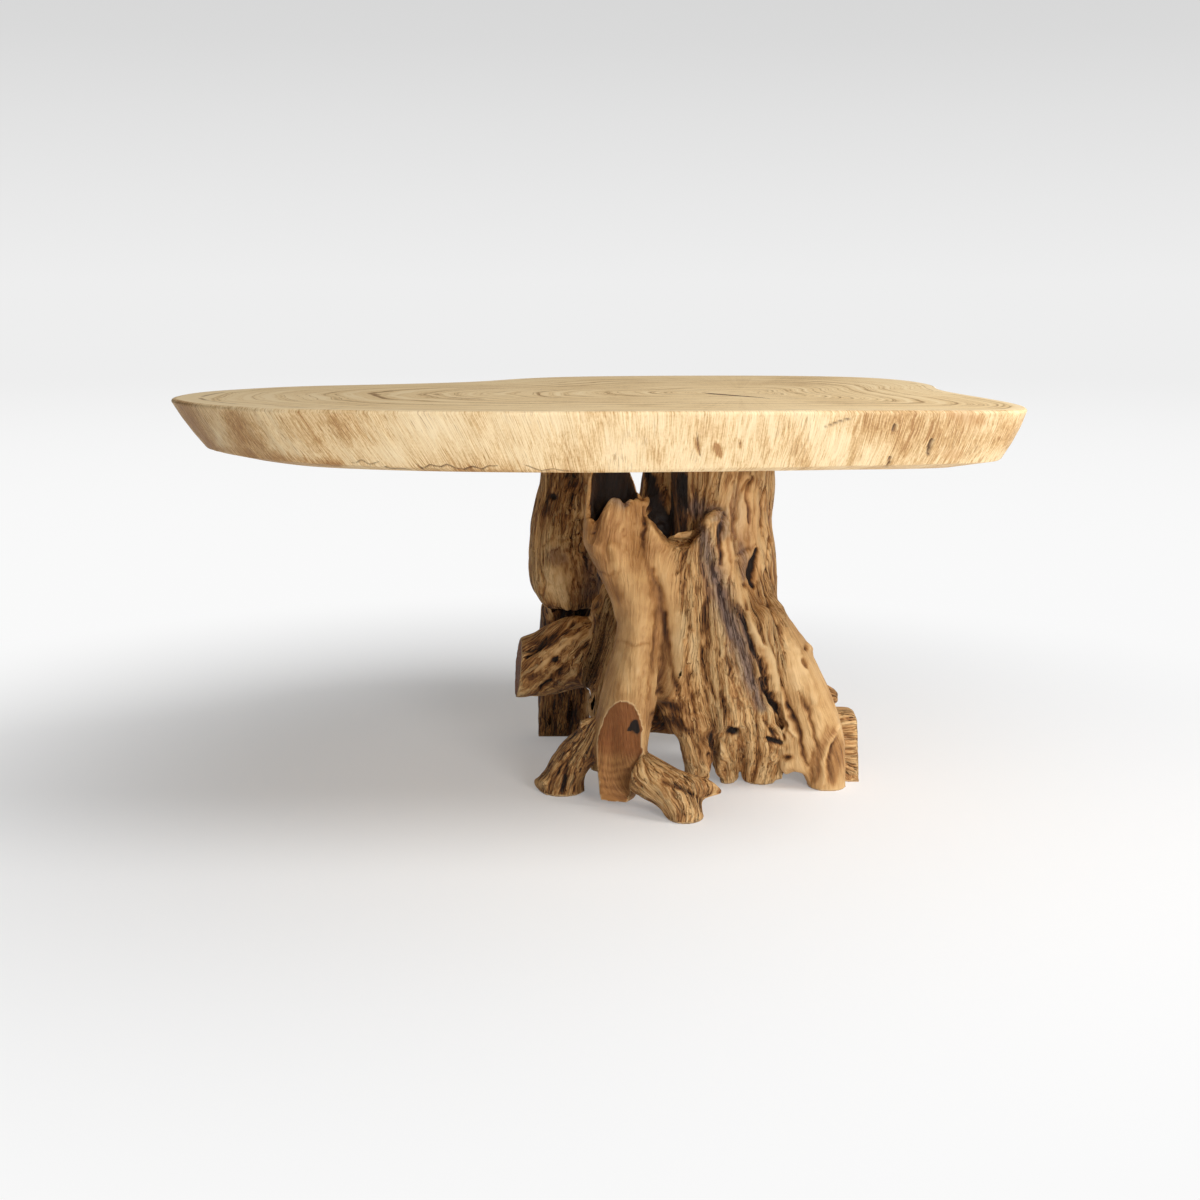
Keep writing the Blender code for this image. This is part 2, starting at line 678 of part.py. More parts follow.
def eight_shape(shop, name, grow, low, high):
    """A figure-eight solid: two discs and a neck, from its root end at the origin along +X.

    Args:
        grow: how much larger than the plate it is all round.
        low, high: its lower and upper faces.
    """
    rings = ((low, PLATE_RADIUS + grow), (high, PLATE_RADIUS + grow))
    body = shop.cutter(name, rod_mesh(name, rings, PLATE_SIDES))
    disc = shop.cutter(f"{name}_disc", rod_mesh(f"{name}_disc", rings, PLATE_SIDES))
    disc.location = (PLATE_PITCH, 0, 0)
    bm = bmesh.new()
    middle = Vector((PLATE_PITCH / 2, 0, (low + high) / 2))
    size = Vector((PLATE_PITCH, PLATE_NECK + 2 * grow, high - low))
    bmesh.ops.create_cube(bm, size=1.0, matrix=Matrix.LocRotScale(middle, None, size))
    neck = shop.cutter(f"{name}_neck", finish_mesh(bm, f"{name}_neck"))
    boolean(body, disc, "UNION")
    boolean(body, neck, "UNION")
    graph = bpy.context.evaluated_depsgraph_get()
    return bpy.data.meshes.new_from_object(body.evaluated_get(graph))


def screw_rings(grow):
    """Rings of a countersunk screw from its head at 0 down to its tip, or of the hole it needs."""
    shank = SCREW_SHANK / 2 + grow
    return ((grow, SCREW_HEAD / 2 + grow), (-SCREW_HEAD_DEPTH, shank),
            (-SCREW_LENGTH + SCREW_TIP, shank), (-SCREW_LENGTH - grow, shank / 4))


def make_fasteners(shop, sections, slab):
    """Figure-eight plates let into the root tops, each with one screw down and one up."""
    steel = material("zinc_steel", (0.55, 0.56, 0.58), 0.35, 1.0)
    plate_mesh = eight_shape(shop, "plate_blank", 0.0, -PLATE_THICKNESS, 0.0)
    recess_mesh = eight_shape(shop, "recess_blank", PIN_CLEARANCE,
                              -PLATE_THICKNESS - PIN_CLEARANCE, PLATE_THICKNESS)
    screw_mesh = rod_mesh("screw", screw_rings(0.0), SCREW_SIDES)
    hole_mesh = rod_mesh("screw_hole", screw_rings(PIN_CLEARANCE), SCREW_SIDES)
    for fastener in FASTENERS:
        way = Vector((*fastener.way, 0))
        reach = fastener.top.wide if way.x else fastener.top.deep
        rim = Vector((fastener.top.x, fastener.top.y, ROOT_TOP)) + way * reach
        seat = rim - way * PLATE_SETBACK
        turn = math.atan2(way.y, way.x)
        plate = shop.piece(f"fastener_{fastener.name}", plate_mesh.copy(), steel)
        recess = shop.cutter(f"recess_{fastener.name}", recess_mesh)
        for obj in (plate, recess):
            obj.location = seat
            obj.rotation_euler.z = turn
        sections[fastener.root].modifiers.new(f"facet_{fastener.name}", "TRIANGULATE")
        boolean(sections[fastener.root], recess)
        drop = Vector((0, 0, PIN_CLEARANCE))
        spots = (
            (f"root_screw_{fastener.name}", seat - drop, (0, 0, 1), sections[fastener.root]),
            (f"slab_screw_{fastener.name}", seat + way * PLATE_PITCH
             - Vector((0, 0, PLATE_THICKNESS)) + drop, (0, 0, -1), slab),
        )
        for name, spot, head_way, wood in spots:
            screw = shop.piece(name, screw_mesh.copy(), steel)
            hole = shop.cutter(f"hole_{name}", hole_mesh)
            for obj in (screw, hole):
                place(obj, spot, head_way)
            boolean(plate, hole)
            boolean(wood, hole)


def main():
    """Clears the scene and builds the table."""
    for obj in list(bpy.data.objects):
        bpy.data.objects.remove(obj)
    shop = Workshop()
    slab = make_slab(shop)
    sections, floor = make_sections(shop)
    sections["rear_right_block"] = make_block(shop, floor)
    trim_ends(shop, sections)
    make_joints(shop, sections)
    make_fasteners(shop, sections, slab)


main()
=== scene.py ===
"""Looks of the live edge dining table: a pale natural-edge slab on a base of weathered roots.

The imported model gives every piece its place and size. One dense skin is grown over the root
solids, its fibres run from the crown down into every foot, and the skin is then split at the
sawn joints again, so that each root section stays a piece of its own.
"""

import logging
import math
from dataclasses import dataclass, field
from enum import Enum
from itertools import product

import bmesh
import bpy
import numpy as np
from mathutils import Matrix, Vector
from mathutils.bvhtree import BVHTree


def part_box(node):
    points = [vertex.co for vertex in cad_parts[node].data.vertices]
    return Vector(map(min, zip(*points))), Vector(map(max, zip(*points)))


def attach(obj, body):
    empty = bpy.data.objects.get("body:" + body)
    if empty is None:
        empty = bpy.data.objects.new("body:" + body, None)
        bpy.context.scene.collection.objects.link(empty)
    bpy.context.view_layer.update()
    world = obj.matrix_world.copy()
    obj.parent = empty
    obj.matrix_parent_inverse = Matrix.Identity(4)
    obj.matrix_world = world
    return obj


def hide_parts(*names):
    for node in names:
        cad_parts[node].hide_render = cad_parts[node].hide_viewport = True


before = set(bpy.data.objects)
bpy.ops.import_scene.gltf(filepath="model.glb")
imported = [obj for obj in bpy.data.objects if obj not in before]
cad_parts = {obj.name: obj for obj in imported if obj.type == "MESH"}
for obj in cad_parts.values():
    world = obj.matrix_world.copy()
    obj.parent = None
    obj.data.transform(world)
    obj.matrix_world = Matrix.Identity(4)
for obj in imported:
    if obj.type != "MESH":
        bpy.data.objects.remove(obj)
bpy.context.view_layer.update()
BODY = "root"
log = logging.getLogger("live_edge_table")
Array = np.ndarray


@dataclass(frozen=True)
class Sight:
    """The photograph's view of the table, in a square picture.

    Attributes:
        frame_px: width and height of the picture.
        focal_px: focal length in pixels of the picture.
        eye: where the camera stands.
        pitch: how far it looks down, in degrees.
    """

    frame_px: float = 1200.0
    focal_px: float = 1702.0
    eye: tuple = (0.0307, -3.345, 0.9706)
    pitch: float = 10.616

    def pixels(self, points: Array) -> tuple[Array, Array]:
        """Where points show in the picture.

        Args:
            points: one row for each point.
        Returns:
            Their pixels, and their depths along the view.
        """
        tilt = math.radians(self.pitch)
        away = points - np.array(self.eye)
        depth = away @ np.array((0.0, math.cos(tilt), -math.sin(tilt)))
        rise = away @ np.array((0.0, math.sin(tilt), math.cos(tilt)))
        half = self.frame_px / 2
        across = half + self.focal_px * away[:, 0] / depth
        down = half - self.focal_px * rise / depth
        return np.column_stack((across, down)), depth

    def seen(self, pixels: Array, depth: Array, slack: float) -> Array:
        """Marks the points that nothing of the same skin hides.

        Args:
            pixels: the points in the picture.
            depth: their depths.
            slack: how far behind the nearest point one still counts as seen.
        Returns:
            True for each point that is seen.
        """
        cell = np.clip((pixels / 2).astype(int), 0, int(self.frame_px / 2) - 1)
        side = int(self.frame_px / 2)
        nearest = np.full((side, side), np.inf)
        np.minimum.at(nearest, (cell[:, 1], cell[:, 0]), depth)
        return depth < nearest[cell[:, 1], cell[:, 0]] + slack

    def camera(self) -> bpy.types.Object:
        """The camera of this view, made the scene's own."""
        data = bpy.data.cameras.new("photo_camera")
        data.sensor_width = 36.0
        data.lens = data.sensor_width * self.focal_px / self.frame_px
        made = bpy.data.objects.new("photo_camera", data)
        made.location = self.eye
        made.rotation_euler.x = math.radians(90.0 - self.pitch)
        bpy.context.scene.collection.objects.link(made)
        bpy.context.scene.camera = made
        return made


class LatticeNoise:
    """Smooth seeded noise on a lattice that repeats far apart."""

    SIDE = 48

    def __init__(self, seed: int) -> None:
        """Draws the lattice's values."""
        self.values = np.random.default_rng(seed).uniform(-1.0, 1.0, (self.SIDE,) * 3)

    def at(self, places: Array) -> Array:
        """Noise from -1 to 1, with features about one unit wide.

        Args:
            places: one row for each place.
        Returns:
            One value for each place.
        """
        base = np.floor(places).astype(int)
        part = places - base
        part = part * part * (3.0 - 2.0 * part)
        total = np.zeros(len(places))
        for corner in product((0, 1), repeat=3):
            weight = np.prod(np.where(corner, part, 1.0 - part), axis=1)
            i, j, k = ((base + corner) % self.SIDE).T
            total += weight * self.values[i, j, k]
        return total


class Skin:
    """A dense surface as arrays, with what its neighbours and its triangles tell."""

    def __init__(self, mesh: bpy.types.Mesh) -> None:
        """Reads a mesh's points, triangles and neighbours."""
        self.points = np.zeros(len(mesh.vertices) * 3, np.float32)
        mesh.vertices.foreach_get("co", self.points)
        self.points = self.points.reshape(-1, 3).astype(float)
        mesh.calc_loop_triangles()
        corners = np.zeros(len(mesh.loop_triangles) * 3, np.int32)
        mesh.loop_triangles.foreach_get("vertices", corners)
        self.triangles = corners.reshape(-1, 3).astype(np.int64)
        count = len(self.points)
        ends = np.concatenate([self.triangles[:, pair] for pair in ((0, 1), (1, 2), (2, 0))])
        ends = np.concatenate((ends, ends[:, ::-1]))
        keys = np.unique(ends[:, 0] * count + ends[:, 1])
        self.home, self.near = keys // count, keys % count
        self.starts = np.searchsorted(self.home, np.arange(count))
        self.valence = np.bincount(self.home, minlength=count)

    def gathered(self, values: Array) -> Array:
        """The sum of the neighbours' values at each point."""
        return np.add.reduceat(values[self.near], self.starts, axis=0)

    def spread(self, values: Array, rounds: int) -> Array:
        """Values averaged with their neighbours, several times over."""
        share = self.valence if values.ndim == 1 else self.valence[:, None]
        for _ in range(rounds):
            values = 0.5 * values + 0.5 * self.gathered(values) / share
        return values

    def normals(self) -> Array:
        """A unit normal at each point."""
        a, b, c = (self.points[self.triangles[:, k]] for k in range(3))
        flat = np.cross(b - a, c - a)
        total = np.zeros_like(self.points)
        for k in range(3):
            for axis in range(3):
                total[:, axis] += np.bincount(self.triangles[:, k], flat[:, axis], len(total))
        return total / np.maximum(np.linalg.norm(total, axis=1, keepdims=True), 1e-12)

    def settled(self, values: Array, held: Array, rounds: int) -> Array:
        """Values that run evenly over the skin between those that are held.

        Args:
            values: a first guess, right where it is held.
            held: True where a value stays.
            rounds: steps of the conjugate gradient search.
        Returns:
            The settled values.
        """
        values = values.copy()
        rest = np.where(held, 0.0, self.gathered(values) - self.valence * values)
        step = rest.copy()
        size = rest @ rest
        for _ in range(rounds):
            pull = np.where(held, 0.0, self.valence * step - self.gathered(step))
            reach = size / max(step @ pull, 1e-30)
            values += reach * step
            rest -= reach * pull
            after = rest @ rest
            step = rest + step * (after / max(size, 1e-30))
            size = after
        return values

    def slope(self, values: Array, normals: Array) -> Array:
        """The unit direction on the skin in which values rise fastest."""
        reach = self.points[self.near] - self.points[self.home]
        rise = (values[self.near] - values[self.home]) / np.einsum("ij,ij->i", reach, reach)
        way = np.add.reduceat(reach * rise[:, None], self.starts, axis=0)
        way = self.spread(way / np.maximum(np.linalg.norm(way, axis=1, keepdims=True), 1e-9), 4)
        way -= normals * np.einsum("ij,ij->i", way, normals)[:, None]
        return way / np.maximum(np.linalg.norm(way, axis=1, keepdims=True), 1e-9)

    def ahead(self, way: Array) -> tuple[Array, Array, Array]:
        """The edge that a line from each point along a direction first crosses.

        Args:
            way: a direction at each point.
        Returns:
            The edge's two ends, and the share of the way from the first to the second.
        """
        homes, firsts, seconds, shares, scores = [], [], [], [], []
        for k in range(3):
            i, a, b = (self.triangles[:, (k + turn) % 3] for turn in range(3))
            one, two, line = self.points[a] - self.points[i], self.points[b] - self.points[i], way[i]
            aa, ab, bb = (np.einsum("ij,ij->i", p, q) for p, q in ((one, one), (one, two), (two, two)))
            al, bl = (np.einsum("ij,ij->i", p, line) for p in (one, two))
            span = np.maximum(aa * bb - ab * ab, 1e-20)
            left, right = (bb * al - ab * bl) / span, (aa * bl - ab * al) / span
            both = np.maximum(np.abs(left) + np.abs(right), 1e-12)
            homes.append(i)
            firsts.append(a)
            seconds.append(b)
            shares.append(np.clip(right / both, 0.0, 1.0))
            scores.append(np.minimum(left, right) / both)
        home, score = np.concatenate(homes), np.concatenate(scores)
        order = np.lexsort((score, home))
        last = order[np.append(np.flatnonzero(np.diff(home[order])), len(order) - 1)]
        return (np.concatenate(firsts)[last], np.concatenate(seconds)[last],
                np.concatenate(shares)[last][:, None].astype(np.float32))

    def carried(self, way: Array, source: Array, rounds: int) -> Array:
        """The place on a source that each point's fibre comes from.

        Args:
            way: the direction towards the source at each point.
            source: True on the source.
            rounds: how many steps a place may be carried.
        Returns:
            One place for each point, the same all along a fibre.
        """
        first, second, share = self.ahead(way)
        own = np.flatnonzero(source)
        first[own], second[own] = own, own
        places = self.points.astype(np.float32)
        for _ in range(rounds):
            places = places[first] * (1.0 - share) + places[second] * share
        return places.astype(float)

    def sampled(self, values: list[Array], places: Array) -> list[Array]:
        """Values of this skin at the points on it that lie nearest to other places.

        Args:
            values: arrays with one row for each point of this skin.
            places: where they are wanted.
        Returns:
            The same arrays with one row for each place.
        """
        tree = BVHTree.FromPolygons(self.points.tolist(), self.triangles.tolist())
        found = [tree.find_nearest(place) for place in places.tolist()]
        spots = np.array([hit[0] for hit in found])
        corners = self.triangles[[hit[2] for hit in found]]
        a, b, c = (self.points[corners[:, k]] for k in range(3))
        one, two, way = b - a, c - a, spots - a
        aa, ab, bb = (np.einsum("ij,ij->i", p, q) for p, q in ((one, one), (one, two), (two, two)))
        al, bl = (np.einsum("ij,ij->i", p, way) for p in (one, two))
        span = np.maximum(aa * bb - ab * ab, 1e-20)
        second, third = (bb * al - ab * bl) / span, (aa * bl - ab * al) / span
        shares = np.column_stack((1.0 - second - third, second, third))
        return [np.einsum("ij,ij...->i...", shares, value[corners]) for value in values]


class Mark(Enum):
    """What a stroke does to the wood under it."""

    FURROW = "furrow"
    RIDGE = "ridge"
    SWELL = "swell"
    SINK = "sink"
    # HOLE sinks the skin a little and paints it near black: painted shade of a hole deeper than the sink
    HOLE = "hole"
    STAIN = "stain"
    BLEACH = "bleach"
    # SHADE darkens the colour: some strokes are darker wood and smears, others paint shade into hollows, gaps,
    # creases, under the slab and at the slab's ends
    SHADE = "shade"
    # LIGHT lightens the colour; on the left post it paints light over a shadow
    LIGHT = "light"


@dataclass(frozen=True)
class Stroke:
    """A feature of the wood, or painted shade and light on it, drawn along a path as the photograph shows it.

    Attributes:
        mark: what it does.
        width: half its width in metres.
        depth: how far it sinks or rises, or how strongly it colours.
        path: points in the picture, in pixels.
    """

    mark: Mark
    width: float
    depth: float
    path: tuple

    def nearness(self, pixels: Array, metres_per_px: Array) -> Array:
        """How close points lie to the stroke.

        Args:
            pixels: the points in the picture.
            metres_per_px: the size of a pixel at each point.
        Returns:
            1 on the stroke's line, fading to 0 beside it and at its ends.
        """
        best = np.full(len(pixels), np.inf)
        along = np.zeros(len(pixels))
        stops = np.array(self.path, float)
        legs = max(len(stops) - 1, 1)
        for k in range(legs):
            start, run = stops[k], stops[min(k + 1, len(stops) - 1)] - stops[k]
            share = np.clip((pixels - start) @ run / max(run @ run, 1e-9), 0.0, 1.0)
            gap = np.linalg.norm(pixels - start - share[:, None] * run, axis=1)
            closer = gap < best
            best = np.where(closer, gap, best)
            along = np.where(closer, (k + share) / legs, along)
        taper = 1.0 if len(stops) == 1 else 0.35 + 0.65 * np.sin(np.pi * np.clip(along, 0, 1)) ** 0.7
        return np.exp(-((best * metres_per_px) / (self.width * taper)) ** 2)


@dataclass(frozen=True)
class Drawing:
    """Strokes on the wood, as the photograph shows them.

    Attributes:
        strokes: the strokes.
        sight: the view that they are drawn in.
        wander: how far noise moves them, in pixels.
        soften: rounds of smoothing over the skin.
        through: whether they also mark what the skin itself hides.
    """

    strokes: tuple = ()
    sight: Sight = field(default_factory=Sight)
    wander: float = 2.2
    soften: int = 1
    through: bool = False

    def marks(self, skin: Skin, normals: Array) -> dict[Mark, Array]:
        """How strongly each kind of stroke marks each point of a skin.

        Args:
            skin: the skin.
            normals: its normals.
        Returns:
            For each mark, the deepest stroke's depth at each point.
        """
        pixels, depth = self.sight.pixels(skin.points)
        seen = np.clip((0.55 - normals[:, 1]) / 0.5, 0.0, 1.0)
        if not self.through:
            seen *= self.sight.seen(pixels, depth, 0.05)
        noise = LatticeNoise(21)
        for axis in range(2):
            pixels[:, axis] += self.wander * noise.at(skin.points / 0.012 + 5.0 * axis)
        size = depth / self.sight.focal_px
        marks = {mark: np.zeros(len(skin.points)) for mark in Mark}
        for stroke in self.strokes:
            marks[stroke.mark] = np.maximum(
                marks[stroke.mark], stroke.depth * stroke.nearness(pixels, size) * seen)
        return {mark: skin.spread(value, self.soften) for mark, value in marks.items()}


ROOT_STROKES = (
    Stroke(Mark.STAIN, 0.021, 1.00, ((700, 524), (709, 557), (722, 598), (738, 640), (749, 675), (762, 708))),
    Stroke(Mark.FURROW, 0.005, 0.006, ((712, 560), (722, 605), (733, 640))),
    Stroke(Mark.RIDGE, 0.0050, 0.009, ((746, 612), (758, 640), (770, 662), (781, 698), (795, 736))),
    Stroke(Mark.BLEACH, 0.0040, 1.00, ((746, 612), (758, 640), (770, 662), (781, 698), (795, 736))),
    Stroke(Mark.FURROW, 0.0040, 0.009, ((740, 620), (752, 648), (764, 672), (775, 704), (788, 738))),
    Stroke(Mark.FURROW, 0.007, 0.016, ((762, 680), (770, 696), (779, 714))),
    # Painted shade in the rib's slit
    Stroke(Mark.SHADE, 0.006, 1.10, ((763, 680), (770, 696), (778, 712))),
    Stroke(Mark.FURROW, 0.004, 0.008, ((761, 717), (772, 733))),
    Stroke(Mark.HOLE, 0.009, 0.010, ((768, 737), (774, 741))),
    # Painted shade in the hole at the rib's end
    Stroke(Mark.SHADE, 0.010, 1.30, ((776, 739), (784, 744))),
    Stroke(Mark.HOLE, 0.005, 0.008, ((790, 756),)),
    Stroke(Mark.HOLE, 0.005, 0.008, ((553.5, 497),)),
    Stroke(Mark.SHADE, 0.013, 0.50, ((556, 498),)),
    Stroke(Mark.FURROW, 0.003, 0.005, ((542, 565), (544, 598))),
    Stroke(Mark.FURROW, 0.0025, 0.004, ((543, 547), (552, 538), (564, 541), (577, 536))),
    Stroke(Mark.FURROW, 0.0025, 0.003, ((546, 552), (556, 549), (568, 551), (578, 546))),
    Stroke(Mark.FURROW, 0.0025, 0.003, ((540, 605), (556, 607), (572, 613))),
    Stroke(Mark.FURROW, 0.003, 0.004, ((577, 560), (574, 590))),
    Stroke(Mark.STAIN, 0.020, 0.55, ((586, 560), (590, 580), (584, 598))),
    Stroke(Mark.STAIN, 0.020, 0.45, ((548, 552), (566, 560))),
    # Darkens the top of the left post: painted shade under the slab, on its darker wood
    Stroke(Mark.SHADE, 0.030, 0.35, ((565, 480), (555, 510))),
    Stroke(Mark.FURROW, 0.010, 0.012, ((572, 622), (548, 640), (526, 656))),
    Stroke(Mark.HOLE, 0.008, 0.010, ((555, 659),)),
    Stroke(Mark.FURROW, 0.006, 0.007, ((590, 640), (562, 668), (540, 688))),
    Stroke(Mark.RIDGE, 0.006, 0.005, ((588, 630), (560, 650), (535, 672))),
    # Painted shade where the left limb meets the stump beside the front root
    Stroke(Mark.SHADE, 0.012, 0.50, ((600, 625), (598, 655), (590, 690))),
    Stroke(Mark.HOLE, 0.0022, 0.003, ((593, 533),)),
    Stroke(Mark.HOLE, 0.0022, 0.003, ((623, 530),)),
    Stroke(Mark.FURROW, 0.0020, 0.0014, ((606, 574), (618, 571))),
    Stroke(Mark.FURROW, 0.0022, 0.0020, ((616, 640), (632, 645), (650, 644))),
    Stroke(Mark.BLEACH, 0.022, 0.35, ((606, 530), (612, 560), (632, 600), (636, 640), (630, 690))),
    Stroke(Mark.FURROW, 0.0045, 0.003, ((642, 542), (647, 565), (657, 612), (655, 645), (651, 675), (648, 700))),
    Stroke(Mark.BLEACH, 0.022, 0.30, ((664, 545), (668, 575))),
    Stroke(Mark.FURROW, 0.004, 0.004, ((684, 540), (677, 574))),
    Stroke(Mark.FURROW, 0.006, 0.009, ((703, 564), (708, 596), (704, 634), (707, 678), (716, 700))),
    Stroke(Mark.FURROW, 0.0050, 0.006, ((665, 612), (669, 649), (674, 678), (682, 708))),
    Stroke(Mark.HOLE, 0.004, 0.006, ((690, 626), (692, 634))),
    Stroke(Mark.FURROW, 0.006, 0.008, ((686, 640), (690, 680), (694, 715))),
    Stroke(Mark.HOLE, 0.008, 0.014, ((732, 730),)),
    Stroke(Mark.FURROW, 0.005, 0.006, ((720, 690), (731, 727))),
    Stroke(Mark.RIDGE, 0.005, 0.005, ((730, 484), (727, 533), (729, 576))),
    Stroke(Mark.RIDGE, 0.004, 0.004, ((742, 495), (736, 530), (734, 560))),
    Stroke(Mark.FURROW, 0.004, 0.007, ((742, 492), (748, 480))),
    Stroke(Mark.FURROW, 0.0035, 0.004, ((737, 555), (757, 544))),
    Stroke(Mark.HOLE, 0.006, 0.012, ((757, 548), (751, 574), (753, 587))),
    Stroke(Mark.HOLE, 0.004, 0.006, ((743, 586),)),
    Stroke(Mark.FURROW, 0.004, 0.005, ((768, 535), (765, 580), (767, 612), (780, 634))),
    Stroke(Mark.BLEACH, 0.030, 0.40, ((745, 478), (748, 530), (742, 600))),
    Stroke(Mark.FURROW, 0.0035, 0.007, ((752, 476), (747, 498), (751, 522))),
    Stroke(Mark.FURROW, 0.0030, 0.006, ((765, 484), (760, 505), (762, 525))),
    Stroke(Mark.FURROW, 0.0030, 0.006, ((733, 480), (731, 505), (734, 540))),
    Stroke(Mark.FURROW, 0.0035, 0.008, ((722, 514), (719, 536), (722, 565))),
    Stroke(Mark.FURROW, 0.0030, 0.006, ((728, 520), (727, 550), (731, 585))),
    Stroke(Mark.SHADE, 0.006, 0.40, ((752, 476), (747, 498), (751, 522))),
    Stroke(Mark.SHADE, 0.005, 0.50, ((722, 514), (719, 536), (722, 565))),
    Stroke(Mark.STAIN, 0.012, 0.75, ((714, 520), (722, 512), (724, 540))),
    Stroke(Mark.STAIN, 0.026, 0.30, ((735, 490), (738, 530), (745, 575))),
    Stroke(Mark.BLEACH, 0.020, 0.40, ((726, 490), (728, 560))),
    # Painted light as well as bleaching: lifts the left post out of the front root's shadow, on its paler wood
    Stroke(Mark.BLEACH, 0.038, 0.42, ((558, 555), (560, 592))),
    Stroke(Mark.FURROW, 0.0022, 0.003, ((551, 556), (557, 572), (552, 594))),
    Stroke(Mark.FURROW, 0.0022, 0.003, ((563, 552), (567, 570), (561, 592))),
    Stroke(Mark.FURROW, 0.0020, 0.003, ((545, 582), (558, 586), (571, 580))),
    Stroke(Mark.BLEACH, 0.016, 0.30, ((545, 520), (540, 560))),
    Stroke(Mark.HOLE, 0.005, 0.006, ((803, 649),)),
    Stroke(Mark.FURROW, 0.005, 0.006, ((800, 660), (806, 668))),
    Stroke(Mark.RIDGE, 0.004, 0.006, ((839, 727), (827, 744), (823, 762), (823, 783))),
    Stroke(Mark.BLEACH, 0.012, 0.40, ((834, 740), (832, 775))),
    Stroke(Mark.FURROW, 0.005, 0.005, ((786, 700), (800, 735), (806, 765))),
    Stroke(Mark.FURROW, 0.004, 0.004, ((798, 690), (812, 720), (818, 750))),
    Stroke(Mark.RIDGE, 0.004, 0.003, ((790, 640), (805, 680), (822, 720))),
    Stroke(Mark.BLEACH, 0.020, 0.30, ((790, 660), (812, 700), (832, 745))),
    Stroke(Mark.FURROW, 0.003, 0.004, ((844, 734), (858, 739))),
    Stroke(Mark.FURROW, 0.004, 0.006, ((660, 780), (676, 786), (698, 797))),
    Stroke(Mark.FURROW, 0.005, 0.006, ((570, 750), (565, 770), (562, 792))),
    Stroke(Mark.FURROW, 0.004, 0.005, ((585, 735), (556, 775))),
    # Painted shade of the notch in the front root's cut
    Stroke(Mark.HOLE, 0.0045, 0.010, ((628, 729), (635, 724), (638, 732))),
    Stroke(Mark.SHADE, 0.010, 0.45, ((631, 722), (639, 734))),
    Stroke(Mark.SINK, 0.010, 0.008, ((652, 570), (662, 602), (665, 635), (664, 665), (659, 694))),
    # Painted shade in the groove between the front root and the web
    Stroke(Mark.SHADE, 0.004, 0.35, ((652, 570), (662, 602), (665, 635), (664, 665), (659, 694))),
    Stroke(Mark.FURROW, 0.0040, 0.006, ((643, 506), (645, 522), (642, 540))),
    # Painted shade in the crease beside the front root's head
    Stroke(Mark.SHADE, 0.009, 0.40, ((643, 506), (645, 522), (641, 548))),
    Stroke(Mark.RIDGE, 0.0030, 0.005, ((592, 521), (599, 508), (606, 498))),
    Stroke(Mark.STAIN, 0.008, 0.80, ((608, 497), (618, 503), (628, 503))),
    Stroke(Mark.SHADE, 0.022, 0.45, ((595, 545), (600, 520), (615, 560))),
    Stroke(Mark.HOLE, 0.0022, 0.003, ((623, 537),)),
    Stroke(Mark.HOLE, 0.0020, 0.003, ((633, 524),)),
    Stroke(Mark.FURROW, 0.0020, 0.002, ((596, 566), (606, 573), (617, 575))),
    Stroke(Mark.BLEACH, 0.006, 0.80, ((701, 529), (709, 521), (716, 515))),
    Stroke(Mark.RIDGE, 0.005, 0.006, ((701, 529), (709, 521), (716, 515))),
    Stroke(Mark.LIGHT, 0.022, 0.75, ((680, 615), (690, 650), (692, 690))),
    Stroke(Mark.LIGHT, 0.014, 0.45, ((618, 655), (628, 690))),
    Stroke(Mark.LIGHT, 0.020, 0.45, ((785, 645), (800, 690))),
    # Painted light: lightens the lower left post over the front root's shadow, on its grey-beige wood
    Stroke(Mark.LIGHT, 0.034, 0.80, ((548, 570), (560, 600))),
    # Painted shade under the slab on the left post's top
    Stroke(Mark.SHADE, 0.040, 0.60, ((575, 476), (556, 492), (548, 512))),
    Stroke(Mark.SHADE, 0.005, 0.70, ((786, 700), (800, 735), (806, 765))),
    Stroke(Mark.SHADE, 0.005, 0.60, ((798, 690), (812, 720), (818, 750))),
    Stroke(Mark.SHADE, 0.012, 0.75, ((828, 728), (819, 750), (816, 780))),
    Stroke(Mark.SHADE, 0.020, 0.85, ((833, 730), (832, 782))),
    Stroke(Mark.FURROW, 0.0030, 0.004, ((832, 738), (829, 760), (830, 782))),
    Stroke(Mark.FURROW, 0.0030, 0.004, ((812, 752), (810, 768), (812, 784))),
    # Painted shade in the gap between the middle roots
    Stroke(Mark.SHADE, 0.008, 0.80, ((712, 735), (713, 772))),
    Stroke(Mark.SWELL, 0.010, 0.011, ((707, 742), (707, 776))),
    Stroke(Mark.SWELL, 0.010, 0.011, ((722, 742), (721, 776))),
    Stroke(Mark.SWELL, 0.012, 0.013, ((774, 728), (775, 776))),
    Stroke(Mark.SWELL, 0.012, 0.013, ((787, 728), (787, 776))),
    # Painted shade in the gap between the right root's toes
    Stroke(Mark.SHADE, 0.007, 0.90, ((781, 730), (781, 774))),
    Stroke(Mark.SWELL, 0.012, 0.009, ((594, 568), (595, 604))),
    Stroke(Mark.SWELL, 0.013, 0.013, ((597, 594), (596, 619))),
    # Painted shade between the left limb and the front root
    Stroke(Mark.SHADE, 0.012, 0.65, ((601, 588), (602, 640), (594, 690))),
    Stroke(Mark.SWELL, 0.018, 0.005, ((594, 545), (604, 580), (614, 615))),
    Stroke(Mark.SWELL, 0.012, 0.010, ((584, 690), (584, 728))),
    Stroke(Mark.SWELL, 0.013, 0.013, ((541, 782),)),
    Stroke(Mark.SINK, 0.014, 0.010, ((712, 545), (722, 590), (738, 635), (752, 672), (766, 705))),
    Stroke(Mark.SINK, 0.006, 0.008, ((737, 604), (752, 645), (768, 685))),
    # Painted shade in the rib's hollow
    Stroke(Mark.SHADE, 0.005, 0.60, ((737, 604), (752, 645), (768, 685), (779, 715))),
